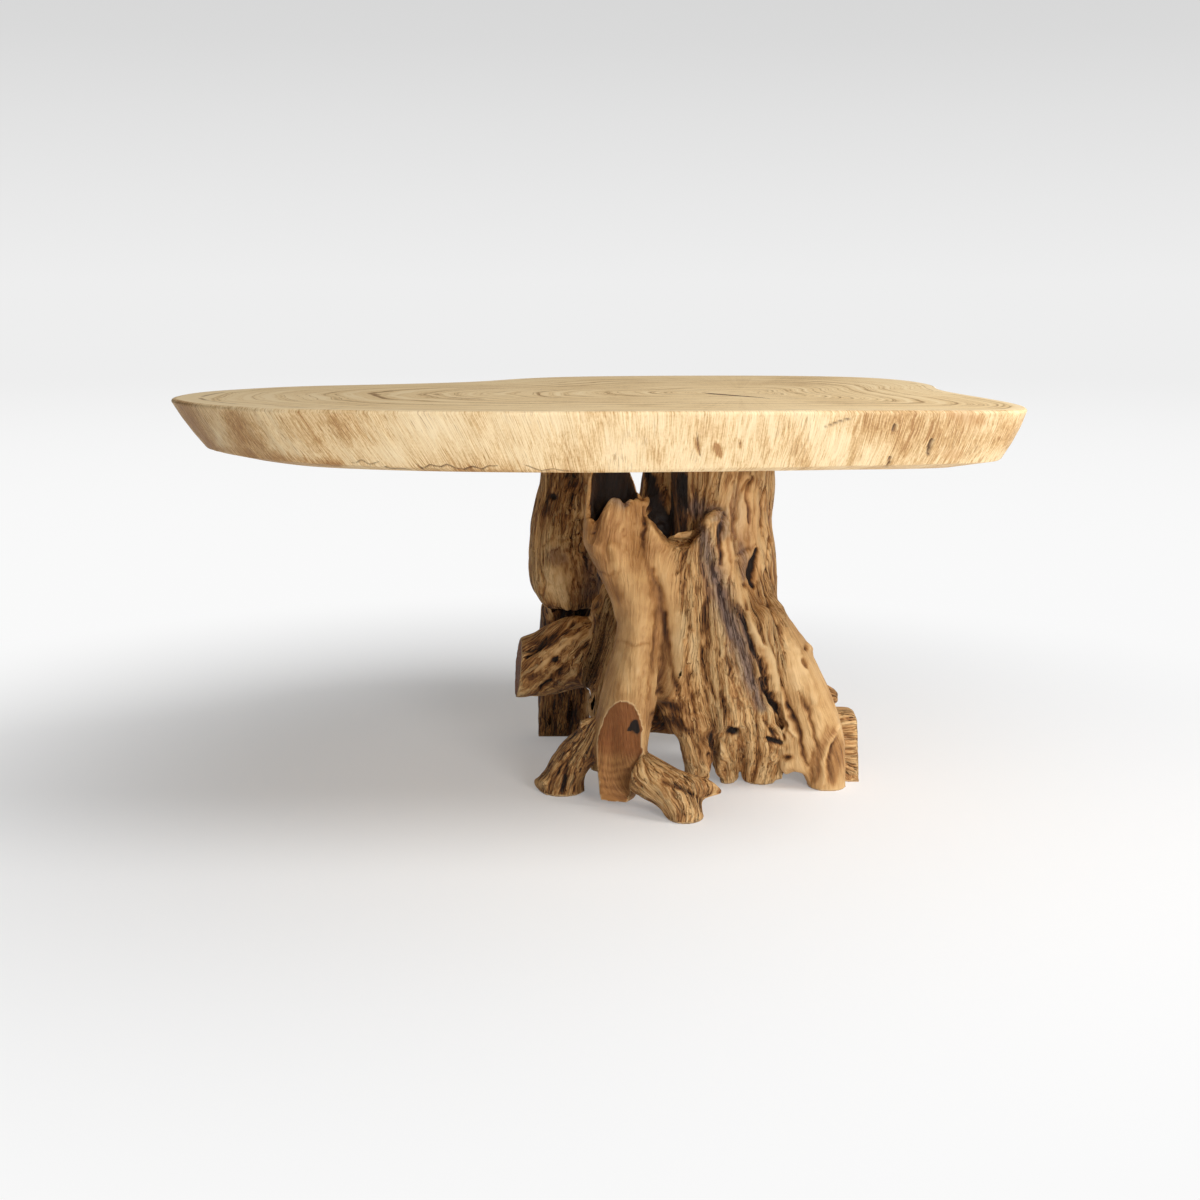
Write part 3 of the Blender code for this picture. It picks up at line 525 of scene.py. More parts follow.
    Stroke(Mark.SWELL, 0.022, 0.006, ((612, 545), (632, 590), (641, 630), (636, 670))),
    Stroke(Mark.SWELL, 0.025, 0.007, ((768, 600), (788, 650), (814, 700))),
    Stroke(Mark.SWELL, 0.009, 0.010, ((648, 500),)),
    Stroke(Mark.SWELL, 0.008, 0.008, ((808, 649),)),
    # Painted shade deep in the trunk's hollow
    Stroke(Mark.SHADE, 0.022, 1.50, ((650, 472), (655, 500), (664, 530))),
    Stroke(Mark.SHADE, 0.016, 0.60, ((684, 476), (690, 498), (696, 515))),
    Stroke(Mark.STAIN, 0.018, 0.80, ((684, 500), (700, 512), (716, 506))),
    # Painted shade inside the arch under the stump
    Stroke(Mark.SHADE, 0.012, 0.90, ((652, 714), (668, 703), (690, 716))),
    Stroke(Mark.SHADE, 0.018, 1.05, ((653, 722), (672, 717), (690, 730))),
    Stroke(Mark.SHADE, 0.014, 0.45, ((589, 520), (594, 548), (606, 575), (622, 600))),
    Stroke(Mark.SHADE, 0.020, 0.30, ((600, 510), (625, 505), (645, 520))),
    Stroke(Mark.BLEACH, 0.016, 0.50, ((742, 500), (738, 545))),
    Stroke(Mark.STAIN, 0.010, 0.70, ((741, 542), (746, 560), (743, 580))),
)

SLAB_STROKES = (
    Stroke(Mark.FURROW, 0.0009, 0.003, ((352, 463), (362, 461), (370, 464), (378, 462))),
    Stroke(Mark.FURROW, 0.0009, 0.003, ((384, 466), (396, 469), (404, 468), (412, 470))),
    Stroke(Mark.FURROW, 0.0011, 0.004, ((416, 464), (423, 469), (430, 465), (440, 467), (447, 465), (454, 469),
                                        (465, 470), (472, 467), (482, 469), (490, 466), (498, 465))),
    Stroke(Mark.FURROW, 0.0010, 0.003, ((524, 464), (532, 468), (541, 471), (553, 470), (574, 472))),
    Stroke(Mark.FURROW, 0.0018, 0.010, ((932, 439), (928, 455))),
    Stroke(Mark.FURROW, 0.0015, 0.008, ((891, 456), (887, 467))),
    Stroke(Mark.FURROW, 0.0013, 0.007, ((895, 422), (891, 433))),
    Stroke(Mark.FURROW, 0.0012, 0.003, ((696, 433), (698, 446), (701, 457))),
    Stroke(Mark.FURROW, 0.0012, 0.003, ((739, 442), (740, 445))),
    Stroke(Mark.FURROW, 0.0016, 0.0032, ((824, 428), (836, 423), (851, 418))),
    Stroke(Mark.STAIN, 0.014, 0.8, ((948, 414), (984, 422))),
    Stroke(Mark.STAIN, 0.010, 0.6, ((945, 456), (962, 453))),
    Stroke(Mark.SHADE, 0.008, 0.5, ((420, 472), (520, 474), (620, 475))),
    # These five darken the left of the edge: its browner wood, and painted shade on the end that turns from the
    # light
    Stroke(Mark.SHADE, 0.016, 0.7, ((215, 448), (270, 458), (340, 464))),
    Stroke(Mark.SHADE, 0.040, 0.9, ((180, 404), (210, 446))),
    Stroke(Mark.SHADE, 0.040, 0.7, ((225, 416), (262, 450))),
    Stroke(Mark.SHADE, 0.030, 0.5, ((282, 420), (318, 450))),
    Stroke(Mark.SHADE, 0.014, 0.4, ((330, 418), (352, 446))),
    Stroke(Mark.SHADE, 0.005, 0.7, ((694, 438), (700, 454))),
    Stroke(Mark.SHADE, 0.007, 1.3, ((715, 443), (721, 457))),
    Stroke(Mark.SHADE, 0.005, 0.6, ((737, 438), (741, 448))),
    Stroke(Mark.SHADE, 0.012, 0.5, ((762, 414), (764, 462))),
    Stroke(Mark.SHADE, 0.012, 0.7, ((868, 414), (858, 440), (850, 464))),
    Stroke(Mark.SHADE, 0.016, 0.8, ((914, 414), (904, 456))),
    Stroke(Mark.SHADE, 0.012, 0.7, ((938, 414), (928, 456))),
    Stroke(Mark.SHADE, 0.016, 0.7, ((984, 414), (976, 456))),
    # These two dim the right end of the edge: painted shade against the light that falls strongest there, over
    # its greyer wood
    Stroke(Mark.SHADE, 0.050, 0.75, ((860, 430), (1000, 440))),
    Stroke(Mark.SHADE, 0.034, 0.65, ((996, 408), (1012, 450))),
    Stroke(Mark.SHADE, 0.026, 0.55, ((780, 416), (805, 464))),
    Stroke(Mark.SHADE, 0.020, 0.4, ((640, 425), (660, 460))),
)


class Section(Enum):
    """The root sections, by the names of their nodes."""

    STUMP = "stump"
    FRONT_ROOT = "front_root"
    FRONT_FOOT = "front_foot"
    FRONT_STRUT = "front_strut"
    LEFT_POST = "left_post"
    LEFT_LIMB = "left_limb"
    REAR_LEFT_LEG = "rear_left_leg"
    RIGHT_ROOT = "right_root"
    REAR_ROOT = "rear_root"
    BLOCK = "rear_right_block"


@dataclass(frozen=True)
class Growth:
    """How the wood of one root section has grown and weathered.

    Attributes:
        fluting: how strongly ridges and furrows stand out.
        pale: how far it is sanded pale.
        dark: how far it is darkened.
        slot: the record's material slot; not used.
    """

    fluting: float
    pale: float
    dark: float
    slot: str


GROWTHS = {
    Section.STUMP: Growth(0.95, 0.43, 0.00, "root_brown"),
    Section.FRONT_ROOT: Growth(0.15, 0.74, 0.26, "root_pale"),
    Section.FRONT_FOOT: Growth(0.75, 0.18, 0.20, "root_brown"),
    Section.FRONT_STRUT: Growth(0.55, 0.05, 0.30, "root_dark"),
    # The left post is made paler: its grey-beige wood, and light painted over the shadow the front root casts on
    # it
    Section.LEFT_POST: Growth(0.60, 0.30, 0.10, "root_brown"),
    Section.LEFT_LIMB: Growth(0.75, 0.15, 0.14, "root_brown"),
    Section.REAR_LEFT_LEG: Growth(0.60, 0.00, 0.55, "root_dark"),
    Section.RIGHT_ROOT: Growth(0.30, 0.75, 0.00, "root_pale"),
    Section.REAR_ROOT: Growth(0.70, 0.10, 0.35, "root_dark"),
    Section.BLOCK: Growth(0.15, 0.40, 0.10, "root_pale"),
}

JOINT_PAIRS = (
    (Section.FRONT_ROOT, Section.STUMP), (Section.FRONT_ROOT, Section.FRONT_FOOT),
    (Section.FRONT_ROOT, Section.FRONT_STRUT), (Section.STUMP, Section.RIGHT_ROOT),
    (Section.STUMP, Section.REAR_ROOT), (Section.STUMP, Section.LEFT_LIMB),
    (Section.LEFT_LIMB, Section.REAR_LEFT_LEG), (Section.LEFT_POST, Section.REAR_LEFT_LEG),
    (Section.RIGHT_ROOT, Section.BLOCK),
)


@dataclass(frozen=True)
class Pull:
    """A stretch of a torn rim that stands higher or lower than its solid.

    Attributes:
        place: its middle in plan.
        reach: how far it reaches along x and along y.
        base: the height from which the wood is stretched.
        crest: the height at which it moves all the way.
        rise: how far it moves.
    """

    place: tuple
    reach: tuple
    base: float
    crest: float
    rise: float

    def lift(self, points: Array) -> Array:
        """How far up each point moves."""
        away = (points[:, :2] - np.array(self.place)) / np.array(self.reach)
        share = np.clip((points[:, 2] - self.base) / (self.crest - self.base), 0.0, 1.0)
        return self.rise * share * np.exp(-np.sum(away ** 4, axis=1))


# The web's notch, the open left side of the front root's head, and its tall back
PULLS = (
    Pull((0.182, -0.175), (0.042, 0.060), 0.40, 0.53, -0.036),
    Pull((0.006, -0.187), (0.033, 0.040), 0.46, 0.575, -0.062),
    Pull((0.060, -0.110), (0.046, 0.032), 0.50, 0.60, 0.036),
)

# Saw cuts that show: a point on each and the way it faces
SAW_CUTS = {
    Section.FRONT_ROOT: ((0.065, -0.290, 0.110), (-0.15, -0.98, -0.05)),
    Section.LEFT_LIMB: ((-0.140, 0.090, 0.170), (-1.0, -0.12, 0.10)),
}

# Hollows, whose walls are darkened as painted shade over darker inner wood: the middle of each in plan, how far
# its wall lies from it, and its lowest height
HOLLOWS = (((0.140, -0.090), 0.062, 0.380), ((0.058, -0.156), 0.046, 0.450))


@dataclass(frozen=True)
class Flute:
    """One layer of ridges: its spacing across and along the fibres, its share and its sharpness."""

    across: float
    along: float
    size: float
    narrow: float


FLUTES = (
    Flute(0.060, 0.50, 0.50, 0.13),
    Flute(0.026, 0.26, 0.45, 0.12),
    Flute(0.013, 0.12, 0.30, 0.14),
)


def solid_copy(name: str) -> bmesh.types.BMesh:
    """A merged copy of a CAD node's mesh."""
    bm = bmesh.new()
    bm.from_mesh(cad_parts[name].data)
    bmesh.ops.remove_doubles(bm, verts=bm.verts, dist=1e-5)
    return bm


def linked(name: str, mesh: bpy.types.Mesh) -> bpy.types.Object:
    """A new object in the scene."""
    made = bpy.data.objects.new(name, mesh)
    bpy.context.scene.collection.objects.link(made)
    return made


def baked(obj: bpy.types.Object) -> bpy.types.Mesh:
    """An object's mesh with its modifiers applied; the object is removed."""
    graph = bpy.context.evaluated_depsgraph_get()
    mesh = bpy.data.meshes.new_from_object(obj.evaluated_get(graph))
    bpy.data.objects.remove(obj)
    return mesh


@dataclass
class RootBase:
    """The base of roots: one skin over all sections, shaped, coloured and split again.

    Attributes:
        voxel: edge length of the skin's mesh.
        flow_voxel: edge length of the coarser skin that the fibres are found on.
        closing: how far the solids are grown so that their joints close.
        easing: rounds of smoothing that take the facets out.
        upright: height above which all fibres stand upright.
        carry: how many steps a fibre is followed.
        flute_height: how far ridges and furrows stand out.
        lump_height: how far swellings stand out.
        tear: how far torn rims are ragged.
        torn_above: height above which a face that looks up is a torn rim.
        gnarl: how far the root ends near the floor are knotted.
        shelter_reach: how far away wood still shelters a point.
        shelter_rays: in how many directions it is looked for.
    """

    voxel: float = 0.0034
    flow_voxel: float = 0.008
    closing: float = 0.0003
    easing: int = 14
    upright: float = 0.50
    carry: int = 170
    flute_height: float = 0.0050
    lump_height: float = 0.0030
    tear: float = 0.0060
    torn_above: float = 0.46
    gnarl: float = 0.0050
    shelter_reach: float = 0.16
    shelter_rays: int = 26
    drawing: Drawing = field(default_factory=Drawing)
    WHOLE = "whole_normal"

    def __post_init__(self) -> None:
        """Reads the solids of all sections."""
        self.sections = list(Section)
        self.solids = {s: solid_copy(s.value) for s in self.sections}
        self.crown = max(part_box(s.value)[1].z for s in self.sections)

    def grown_skin(self, edge: float) -> bpy.types.Mesh:
        """One closed skin over all sections and the dowels inside them, of that edge length."""
        bm = bmesh.new()
        dowels = [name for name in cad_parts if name.startswith("dowel_")]
        for name in [s.value for s in self.sections] + dowels:
            bm.from_mesh(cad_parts[name].data)
        bmesh.ops.remove_doubles(bm, verts=bm.verts, dist=1e-5)
        bm.normal_update()
        for vert in bm.verts:
            vert.co += vert.normal * self.closing
        mesh = bpy.data.meshes.new("root_skin")
        bm.to_mesh(mesh)
        bm.free()
        rough = linked("root_skin", mesh)
        wrap = rough.modifiers.new("wrap", "REMESH")
        wrap.mode = "VOXEL"
        wrap.voxel_size = edge
        return baked(rough)

    def owners(self, places: Array) -> tuple[Array, Array]:
        """The section that lies nearest to each place, and its face's normal there.

        Args:
            places: points on the skin.
        Returns:
            Each place's section, by its number in the list of sections, and the normals.
        """
        corners, faces, owner, normals = [], [], [], []
        for number, section in enumerate(self.sections):
            solid, before = self.solids[section], len(corners)
            corners += [vert.co[:] for vert in solid.verts]
            faces += [[before + vert.index for vert in face.verts] for face in solid.faces]
            owner += [number] * len(solid.faces)
            normals += [face.normal[:] for face in solid.faces]
        tree = BVHTree.FromPolygons(corners, faces)
        hits = [tree.find_nearest(place)[2] for place in places.tolist()]
        return np.array(owner)[hits], np.array(normals)[hits]

    def shelter(self, skin: Skin, normals: Array) -> Array:
        """How far the wood around it shuts each point of a skin in, which the finish paints as shade.

        Args:
            skin: the skin.
            normals: its normals.
        Returns:
            A share from 0 in the open to 1 deep inside a hollow.
        """
        tree = BVHTree.FromPolygons(skin.points.tolist(), skin.triangles.tolist())
        starts = skin.points + normals * self.voxel
        met, sent = np.zeros(len(starts)), np.zeros(len(starts))
        for number in range(self.shelter_rays):
            rise = 1.0 - 2.0 * (number + 0.5) / self.shelter_rays
            turn = number * math.pi * (3.0 - math.sqrt(5.0))
            flat = math.sqrt(1.0 - rise * rise)
            ray = Vector((flat * math.cos(turn), flat * math.sin(turn), rise))
            facing = normals @ np.array(ray)
            for k in np.flatnonzero(facing > 0.1).tolist():
                sent[k] += facing[k]
                if tree.ray_cast(starts[k], ray, self.shelter_reach)[0] is not None:
                    met[k] += facing[k]
        return skin.spread(met / np.maximum(sent, 1e-6), 2)

    def fibres(self, places: Array) -> tuple[Array, Array, Array, Array]:
        """How the wood's fibres run past places on the skin.

        Args:
            places: points on the skin.
        Returns:
            The place at the crown and the place at the foot that each fibre comes from, how far
            down it the point lies, from 0 at the crown to 1 at the foot, and its shelter, which the finish
            paints as shade.
        """
        skin = Skin(self.grown_skin(self.flow_voxel))
        height, normals = skin.points[:, 2], skin.normals()
        limb_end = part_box(Section.LEFT_LIMB.value)[0].x + self.flow_voxel
        stub_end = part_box(Section.REAR_ROOT.value)[1].x - self.flow_voxel
        feet = (height < self.flow_voxel * 0.6) | (skin.points[:, 0] < limb_end)
        feet |= skin.points[:, 0] > stub_end
        crown = height > self.crown - self.flow_voxel
        crown |= (height > self.torn_above) & (normals[:, 2] > 0.6)
        level = np.where(feet, 0.0, height / self.crown)
        level = skin.settled(level, feet | (height > self.upright), 260)
        way = skin.slope(level, normals)
        from_crown = skin.carried(way, crown, self.carry)
        from_foot = skin.carried(-way, feet, self.carry)
        found = skin.sampled([from_crown, from_foot, level, self.shelter(skin, normals)], places)
        return found[0], found[1], 1.0 - np.clip(found[2], 0.0, 1.0), found[3]

    def sawn(self, places: Array, owner: Array, flat: Array) -> Array:
        """Marks the points on faces that a saw has left flat.

        Args:
            places: points on the skin.
            owner: each point's section.
            flat: the normal of the solid's face there.
        Returns:
            True on soles, on the crown, on the front root's cut and on the left limb's end.
        """
        edge = 0.6 * self.voxel
        marked = (places[:, 2] < edge) | (places[:, 2] > self.crown - edge)
        for section, (point, way) in SAW_CUTS.items():
            way = np.array(way) / np.linalg.norm(way)
            level = np.abs((places - np.array(point)) @ way) < edge
            marked |= (owner == self.sections.index(section)) & (flat @ way > 0.985) & level
        return marked

    def fluted(self, places: Array, crown: Array, foot: Array, low: Array) -> tuple[Array, Array]:
        """Ridges and furrows that run with the fibres.

        Args:
            places: points on the skin.
            crown, foot: where each point's fibre comes from.
            low: how far down its fibre each point lies.
        Returns:
            The height of the ridges from about -1 to 1, and how deep in a furrow a point lies.
        """
        share = np.clip((low - 0.30) / 0.35, 0.0, 1.0)
        share = share * share * (3.0 - 2.0 * share)
        height, depth = np.zeros(len(places)), np.zeros(len(places))
        for seed, layer in enumerate(FLUTES):
            noise = LatticeNoise(seed + 3)
            slow = places / layer.along
            upper = noise.at(crown / layer.across + slow)
            lower = noise.at(foot / layer.across + slow + 11.3)
            mixed = upper * (1.0 - share) + lower * share
            valley = np.exp(-(mixed / layer.narrow) ** 2)
            height += layer.size * (np.abs(mixed) * 1.6 - valley)
            depth += layer.size * valley
        return height, np.clip(depth, 0.0, 1.0)

    def grown(self, name: str, owner: Array, skin: Skin) -> Array:
        """One trait of every section, blended over their joints."""
        traits = np.array([getattr(GROWTHS[section], name) for section in self.sections])
        return skin.spread(traits[owner], 10)

    def shaped(self) -> tuple[bpy.types.Mesh, Array]:
        """The skin with its ridges, furrows and holes, and the attributes that colour it.

        Returns:
            The mesh, and the number of the section that each point belongs to.
        """
        mesh = self.grown_skin(self.voxel)
        skin = Skin(mesh)
        owner, flat = self.owners(skin.points)
        sawn = self.sawn(skin.points, owner, flat)
        before = skin.points.copy()
        for _ in range(self.easing):
            eased = skin.spread(skin.points, 1)
            skin.points = np.where(sawn[:, None], before, eased)
        crown, foot, low, shelter_shade = self.fibres(skin.points)
        ridge, furrow = self.fluted(skin.points, crown, foot, low)
        skin.points[:, 2] += sum(pull.lift(skin.points) for pull in PULLS)
        normals = skin.normals()
        marks = self.drawing.marks(skin, normals)
        fluting = self.grown("fluting", owner, skin) * (1.0 - skin.spread(sawn.astype(float), 3))
        smooth = np.clip(marks[Mark.BLEACH], 0.0, 1.0)
        fluting = fluting * (1.0 - 0.8 * smooth)
        lumps = LatticeNoise(31).at(skin.points / 0.045)
        rise = fluting * (self.flute_height * ridge + self.lump_height * lumps)
        knots = LatticeNoise(33).at(skin.points / 0.022) * np.clip(1.2 - skin.points[:, 2] / 0.07, 0.0, 1.0)
        rise += np.minimum(fluting, 0.7) * self.gnarl * knots
        rise += (marks[Mark.RIDGE] + marks[Mark.SWELL] - marks[Mark.SINK]
                 - marks[Mark.FURROW] - marks[Mark.HOLE]) * ~sawn
        torn = LatticeNoise(41).at(skin.points / np.array((0.011, 0.011, 0.030)))
        brink = self.brink(skin.points)
        skin.points += normals * rise[:, None]
        skin.points[:, 2] += self.tear * brink * torn
        skin.points[:, 2] = np.clip(skin.points[:, 2], 0.0, self.crown)
        mesh.vertices.foreach_set("co", skin.points.astype(np.float32).ravel())
        # Painted shade: darker where the skin is hollowed, lighter on bulges
        rounded = skin.spread(skin.points, 24) - skin.points
        cavity_shade = np.einsum("ij,ij->i", rounded, normals) / 0.004
        tones = {
            "furrow": np.clip(furrow * fluting + marks[Mark.FURROW] / 0.006, 0.0, 1.0),
            "cavity_shade": np.clip(0.5 + 0.5 * cavity_shade, 0.0, 1.0),
            "pale": np.clip(self.grown("pale", owner, skin) + marks[Mark.BLEACH]
                            + marks[Mark.RIDGE] / 0.006, 0.0, 1.0),
            # Darker wood, and painted shade from shade strokes, holes and the hollows' walls; light strokes
            # lighten it
            "dark": np.clip(self.grown("dark", owner, skin) + marks[Mark.SHADE] - marks[Mark.LIGHT]
                            + marks[Mark.HOLE] / 0.006 + self.inside(skin.points, normals), -0.8, 1.5),
            "stain": np.clip(marks[Mark.STAIN], 0.0, 1.0),
            "cut": skin.spread((sawn & (np.abs(normals[:, 2]) < 0.9)).astype(float), 1),
            "low": low,
            # Painted shade: darker where the wood around shuts a point in
            "shelter_shade": np.clip(shelter_shade, 0.0, 1.0),
        }
        for name, values in tones.items():
            mesh.attributes.new(name, "FLOAT", "POINT").data.foreach_set("value", values.astype(np.float32))
        for name, values in (("crown_fibre", crown), ("foot_fibre", foot), (self.WHOLE, skin.normals())):
            kept = mesh.attributes.new(name, "FLOAT_VECTOR", "POINT")
            kept.data.foreach_set("vector", values.astype(np.float32).ravel())
        mesh.update()
        return mesh, owner

    def brink(self, places: Array) -> Array:
        """How close points lie to the torn rims of the front root and of the web beside it."""
        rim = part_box(Section.FRONT_ROOT.value)[1].z
        front = (places[:, 1] < -0.09) & (places[:, 0] < 0.27)
        return front * np.clip((places[:, 2] - (rim - 0.115)) / 0.05, 0.0, 1.0)

    def inside(self, places: Array, normals: Array) -> Array:
        """Marks the walls of the trunk's hollow and of the front root's, which are darkened: painted shade over
        their darker inner wood.
        """
        total = np.zeros(len(places))
        for axis, reach, floor in HOLLOWS:
            away = places[:, :2] - np.array(axis)
            facing = np.einsum("ij,ij->i", away, normals[:, :2]) < 0.0
            close = np.linalg.norm(away, axis=1) < reach
            deep = np.clip((places[:, 2] - floor) / 0.08, 0.0, 1.0)
            total = np.maximum(total, deep * (facing & close))
        return total

    def joint_plane(self, first: Section, second: Section) -> tuple[Vector, Vector]:
        """The sawn plane between two sections.

        Args:
            first, second: the sections.
        Returns:
            A point on the plane and its normal, which points from the first into the second.
        """
        other = BVHTree.FromBMesh(self.solids[second])
        lying = [face for face in self.solids[first].faces
                 if other.find_nearest(face.calc_center_median())[3] < 2.0 * self.closing]
        areas = [face.calc_area() for face in lying]
        centre, normal = Vector(), Vector()
        for face, area in zip(lying, areas):
            centre += face.calc_center_median() * (area / sum(areas))
            normal += face.normal * area
        return centre, normal.normalized()

    def pieces(self, mesh: bpy.types.Mesh, owner: Array) -> dict[Section, bpy.types.Object]:
        """The skin split at the sawn joints, one closed piece for each section.

        Args:
            mesh: the shaped skin.
            owner: each point's section.
        Returns:
            The pieces by section.
        """
        bm = bmesh.new()
        bm.from_mesh(mesh)
        number = bm.faces.layers.int.new("section")
        for face in bm.faces:
            face[number] = int(owner[face.verts[0].index])
            face.smooth = True
        for first, second in JOINT_PAIRS:
            pair = (self.sections.index(first), self.sections.index(second))
            point, normal = self.joint_plane(first, second)
            reach = 4.0 * self.voxel
            close = [face for face in bm.faces if face[number] in pair
                     and abs((face.calc_center_median() - point).dot(normal)) < reach]
            lines = {edge for face in close for edge in face.edges}
            corners = {vert for face in close for vert in face.verts}
            bmesh.ops.bisect_plane(bm, geom=[*close, *lines, *corners], dist=1e-6,
                                   plane_co=point, plane_no=normal)
            for face in bm.faces:
                side = (face.calc_center_median() - point).dot(normal)
                if face[number] in pair and abs(side) < reach:
                    face[number] = pair[0] if side < 0.0 else pair[1]
        made = {}
        for index, section in enumerate(self.sections):
            part = bm.copy()
            own = part.faces.layers.int["section"]
            others = [face for face in part.faces if face[own] != index]
            bmesh.ops.delete(part, geom=others, context="FACES")
            rim = [edge for edge in part.edges if edge.is_boundary]
            for edge in rim:
                edge.smooth = False
            bmesh.ops.holes_fill(part, edges=rim, sides=0)
            bmesh.ops.triangulate(part, faces=[face for face in part.faces if len(face.verts) > 4])
            piece_mesh = bpy.data.meshes.new(section.value + "_wood")
            part.to_mesh(piece_mesh)
            part.free()
            piece_mesh.validate(clean_customdata=False)
            whole = np.zeros(len(piece_mesh.vertices) * 3, np.float32)
            piece_mesh.attributes[self.WHOLE].data.foreach_get("vector", whole)
            piece_mesh.normals_split_custom_set_from_vertices(whole.reshape(-1, 3).tolist())
            piece_mesh.attributes.remove(piece_mesh.attributes[self.WHOLE])
            made[section] = linked(section.value + "_wood", piece_mesh)
        bm.free()
        return made

    def build(self, finish: bpy.types.Material) -> list[bpy.types.Object]:
        """Shapes the base and puts each piece in the place of its solid."""
        mesh, owner = self.shaped()
        made = self.pieces(mesh, owner)
        for section, piece in made.items():
            piece.data.materials.append(finish)
            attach(piece, BODY)
            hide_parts(section.value)
        bpy.data.meshes.remove(mesh)
        return list(made.values())


@dataclass
class Slab:
    """The slab: a cross-cut of a flared trunk, its edge left as it grew.

    Attributes:
        around: points around the outline.
        crowding: how far they crowd together in front.
        side_rows: rows down the edge, above and below where it is cracked.
        cracked: how far up from the bottom the edge has cracks.
        top_rings: rings from the pith out to the rim.
        sole_rings: rings in to the middle of the underside.
        lip: how far the edges at the top and the bottom are rounded.
        pith: the middle of the growth rings, in plan.
        ripple: how far the ripples of the edge stand out.
        trunk_x: where the fibres of the edge run together below.
        sweep: how far those on the left lean in towards it.
        stand: how far those on the right stand up instead.
        drawing: cracks and marks on the edge, and painted shade at its two ends.
    """

    around: int = 1420
    crowding: float = 0.35
    side_rows: tuple = (25, 19)
    cracked: float = 0.024
    top_rings: int = 8
    sole_rings: int = 4
    lip: float = 0.0018
    pith: tuple = (0.300, -0.040)
    ripple: float = 0.0012
    trunk_x: float = 0.165
    sweep: float = 0.045
    stand: float = 0.030
    drawing: Drawing = field(default_factory=Drawing)

    def __post_init__(self) -> None:
        """Reads the slab's solid."""
        solid = solid_copy("slab_top")
        self.tree = BVHTree.FromBMesh(solid)
        self.low, self.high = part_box("slab_top")
        solid.free()

    def outline(self, height: float) -> Array:
        """The slab's outline at one height.

        Args:
            height: the height.
        Returns:
            One point in plan for each step around.
        """
        middle = (self.low + self.high) / 2
        reach = 2.0 * max(self.high.x, self.high.y)
        rows = []
        for step in np.linspace(0.0, 2.0 * math.pi, self.around, endpoint=False):
            turn = step - self.crowding * math.cos(step)
            way = Vector((math.cos(turn), math.sin(turn) * 0.72, 0.0)).normalized()
            start = Vector((middle.x, middle.y, height)) + way * reach
            rows.append(self.tree.ray_cast(start, -way)[0][:2])
        points = np.array(rows)
        for _ in range(3):
            points = 0.5 * points + 0.25 * (np.roll(points, 1, 0) + np.roll(points, -1, 0))
        return points

    def rings(self) -> list[tuple[Array, float, float, float]]:
        """All rings of the mesh, from the pith out to the rim, down the edge and in below.

        Returns:
            For each ring its outline, its height, its share of the way from the pith and its
            share of the way down the edge.
        """
        depth = self.high.z - self.low.z
        inside = 2e-4
        lips = np.array((0.0, 0.10, 0.35, 0.70)) * self.lip
        upper, lower = self.side_rows
        drops = np.concatenate((lips, np.linspace(self.lip, depth - self.cracked, upper, endpoint=False),
                                np.linspace(depth - self.cracked, depth - self.lip, lower), depth - lips[::-1]))
        rows = []
        for drop in drops:
            corner = np.clip(self.lip - min(drop, depth - drop), 0.0, self.lip)
            pull = self.lip - math.sqrt(max(self.lip ** 2 - corner ** 2, 0.0))
            plan = self.outline(self.high.z - np.clip(drop, inside, depth - inside))
            away = plan - plan.mean(axis=0)
            plan = plan - pull * away / np.linalg.norm(away, axis=1, keepdims=True)
            rows.append((plan, self.high.z - drop, 1.0, drop / depth))
        rim, foot = rows[0][0], rows[-1][0]
        pith, middle = np.array(self.pith), foot.mean(axis=0)
        lid = [(pith + (rim - pith) * share, self.high.z, share, 0.0)
               for share in np.linspace(0.0, 0.992, self.top_rings)]
        sole = [(middle + (foot - middle) * share, self.low.z, share, 1.0)
                for share in np.linspace(0.992, 0.0, self.sole_rings)]
        return lid + rows + sole

    def lean(self, x: float) -> float:
        """How far a fibre of the edge leans in on its way down, beyond the edge's own slope."""
        if x > self.trunk_x:
            return self.stand * (x - self.trunk_x)
        return self.sweep * math.sin(math.pi * (self.trunk_x - x) / (self.trunk_x - self.low.x))

    def mesh(self) -> bpy.types.Mesh:
        """The slab's mesh, with the attributes that its finish reads."""
        rings = self.rings()
        rim = rings[self.top_rings][0]
        bm = bmesh.new()
        bmesh.ops.create_grid(bm, x_segments=self.around, y_segments=len(rings) - 1, size=0.5)
        fibre = bm.verts.layers.float_vector.new("fibre")
        ring_share = bm.verts.layers.float.new("ring")
        down = bm.verts.layers.float.new("down")
        for vert in bm.verts:
            column = round((vert.co.x + 0.5) * self.around) % self.around
            plan, height, share, drop = rings[round((vert.co.y + 0.5) * (len(rings) - 1))]
            vert.co = (*plan[column], height)
            vert[fibre] = (rim[column][0] - drop * self.lean(rim[column][0]), rim[column][1], self.high.z)
            vert[ring_share], vert[down] = share, drop
        bmesh.ops.remove_doubles(bm, verts=bm.verts, dist=1e-6)
        bmesh.ops.recalc_face_normals(bm, faces=bm.faces)
        for face in bm.faces:
            face.smooth = True
        made = bpy.data.meshes.new("slab_wood")
        bm.to_mesh(made)
        bm.free()
        return made

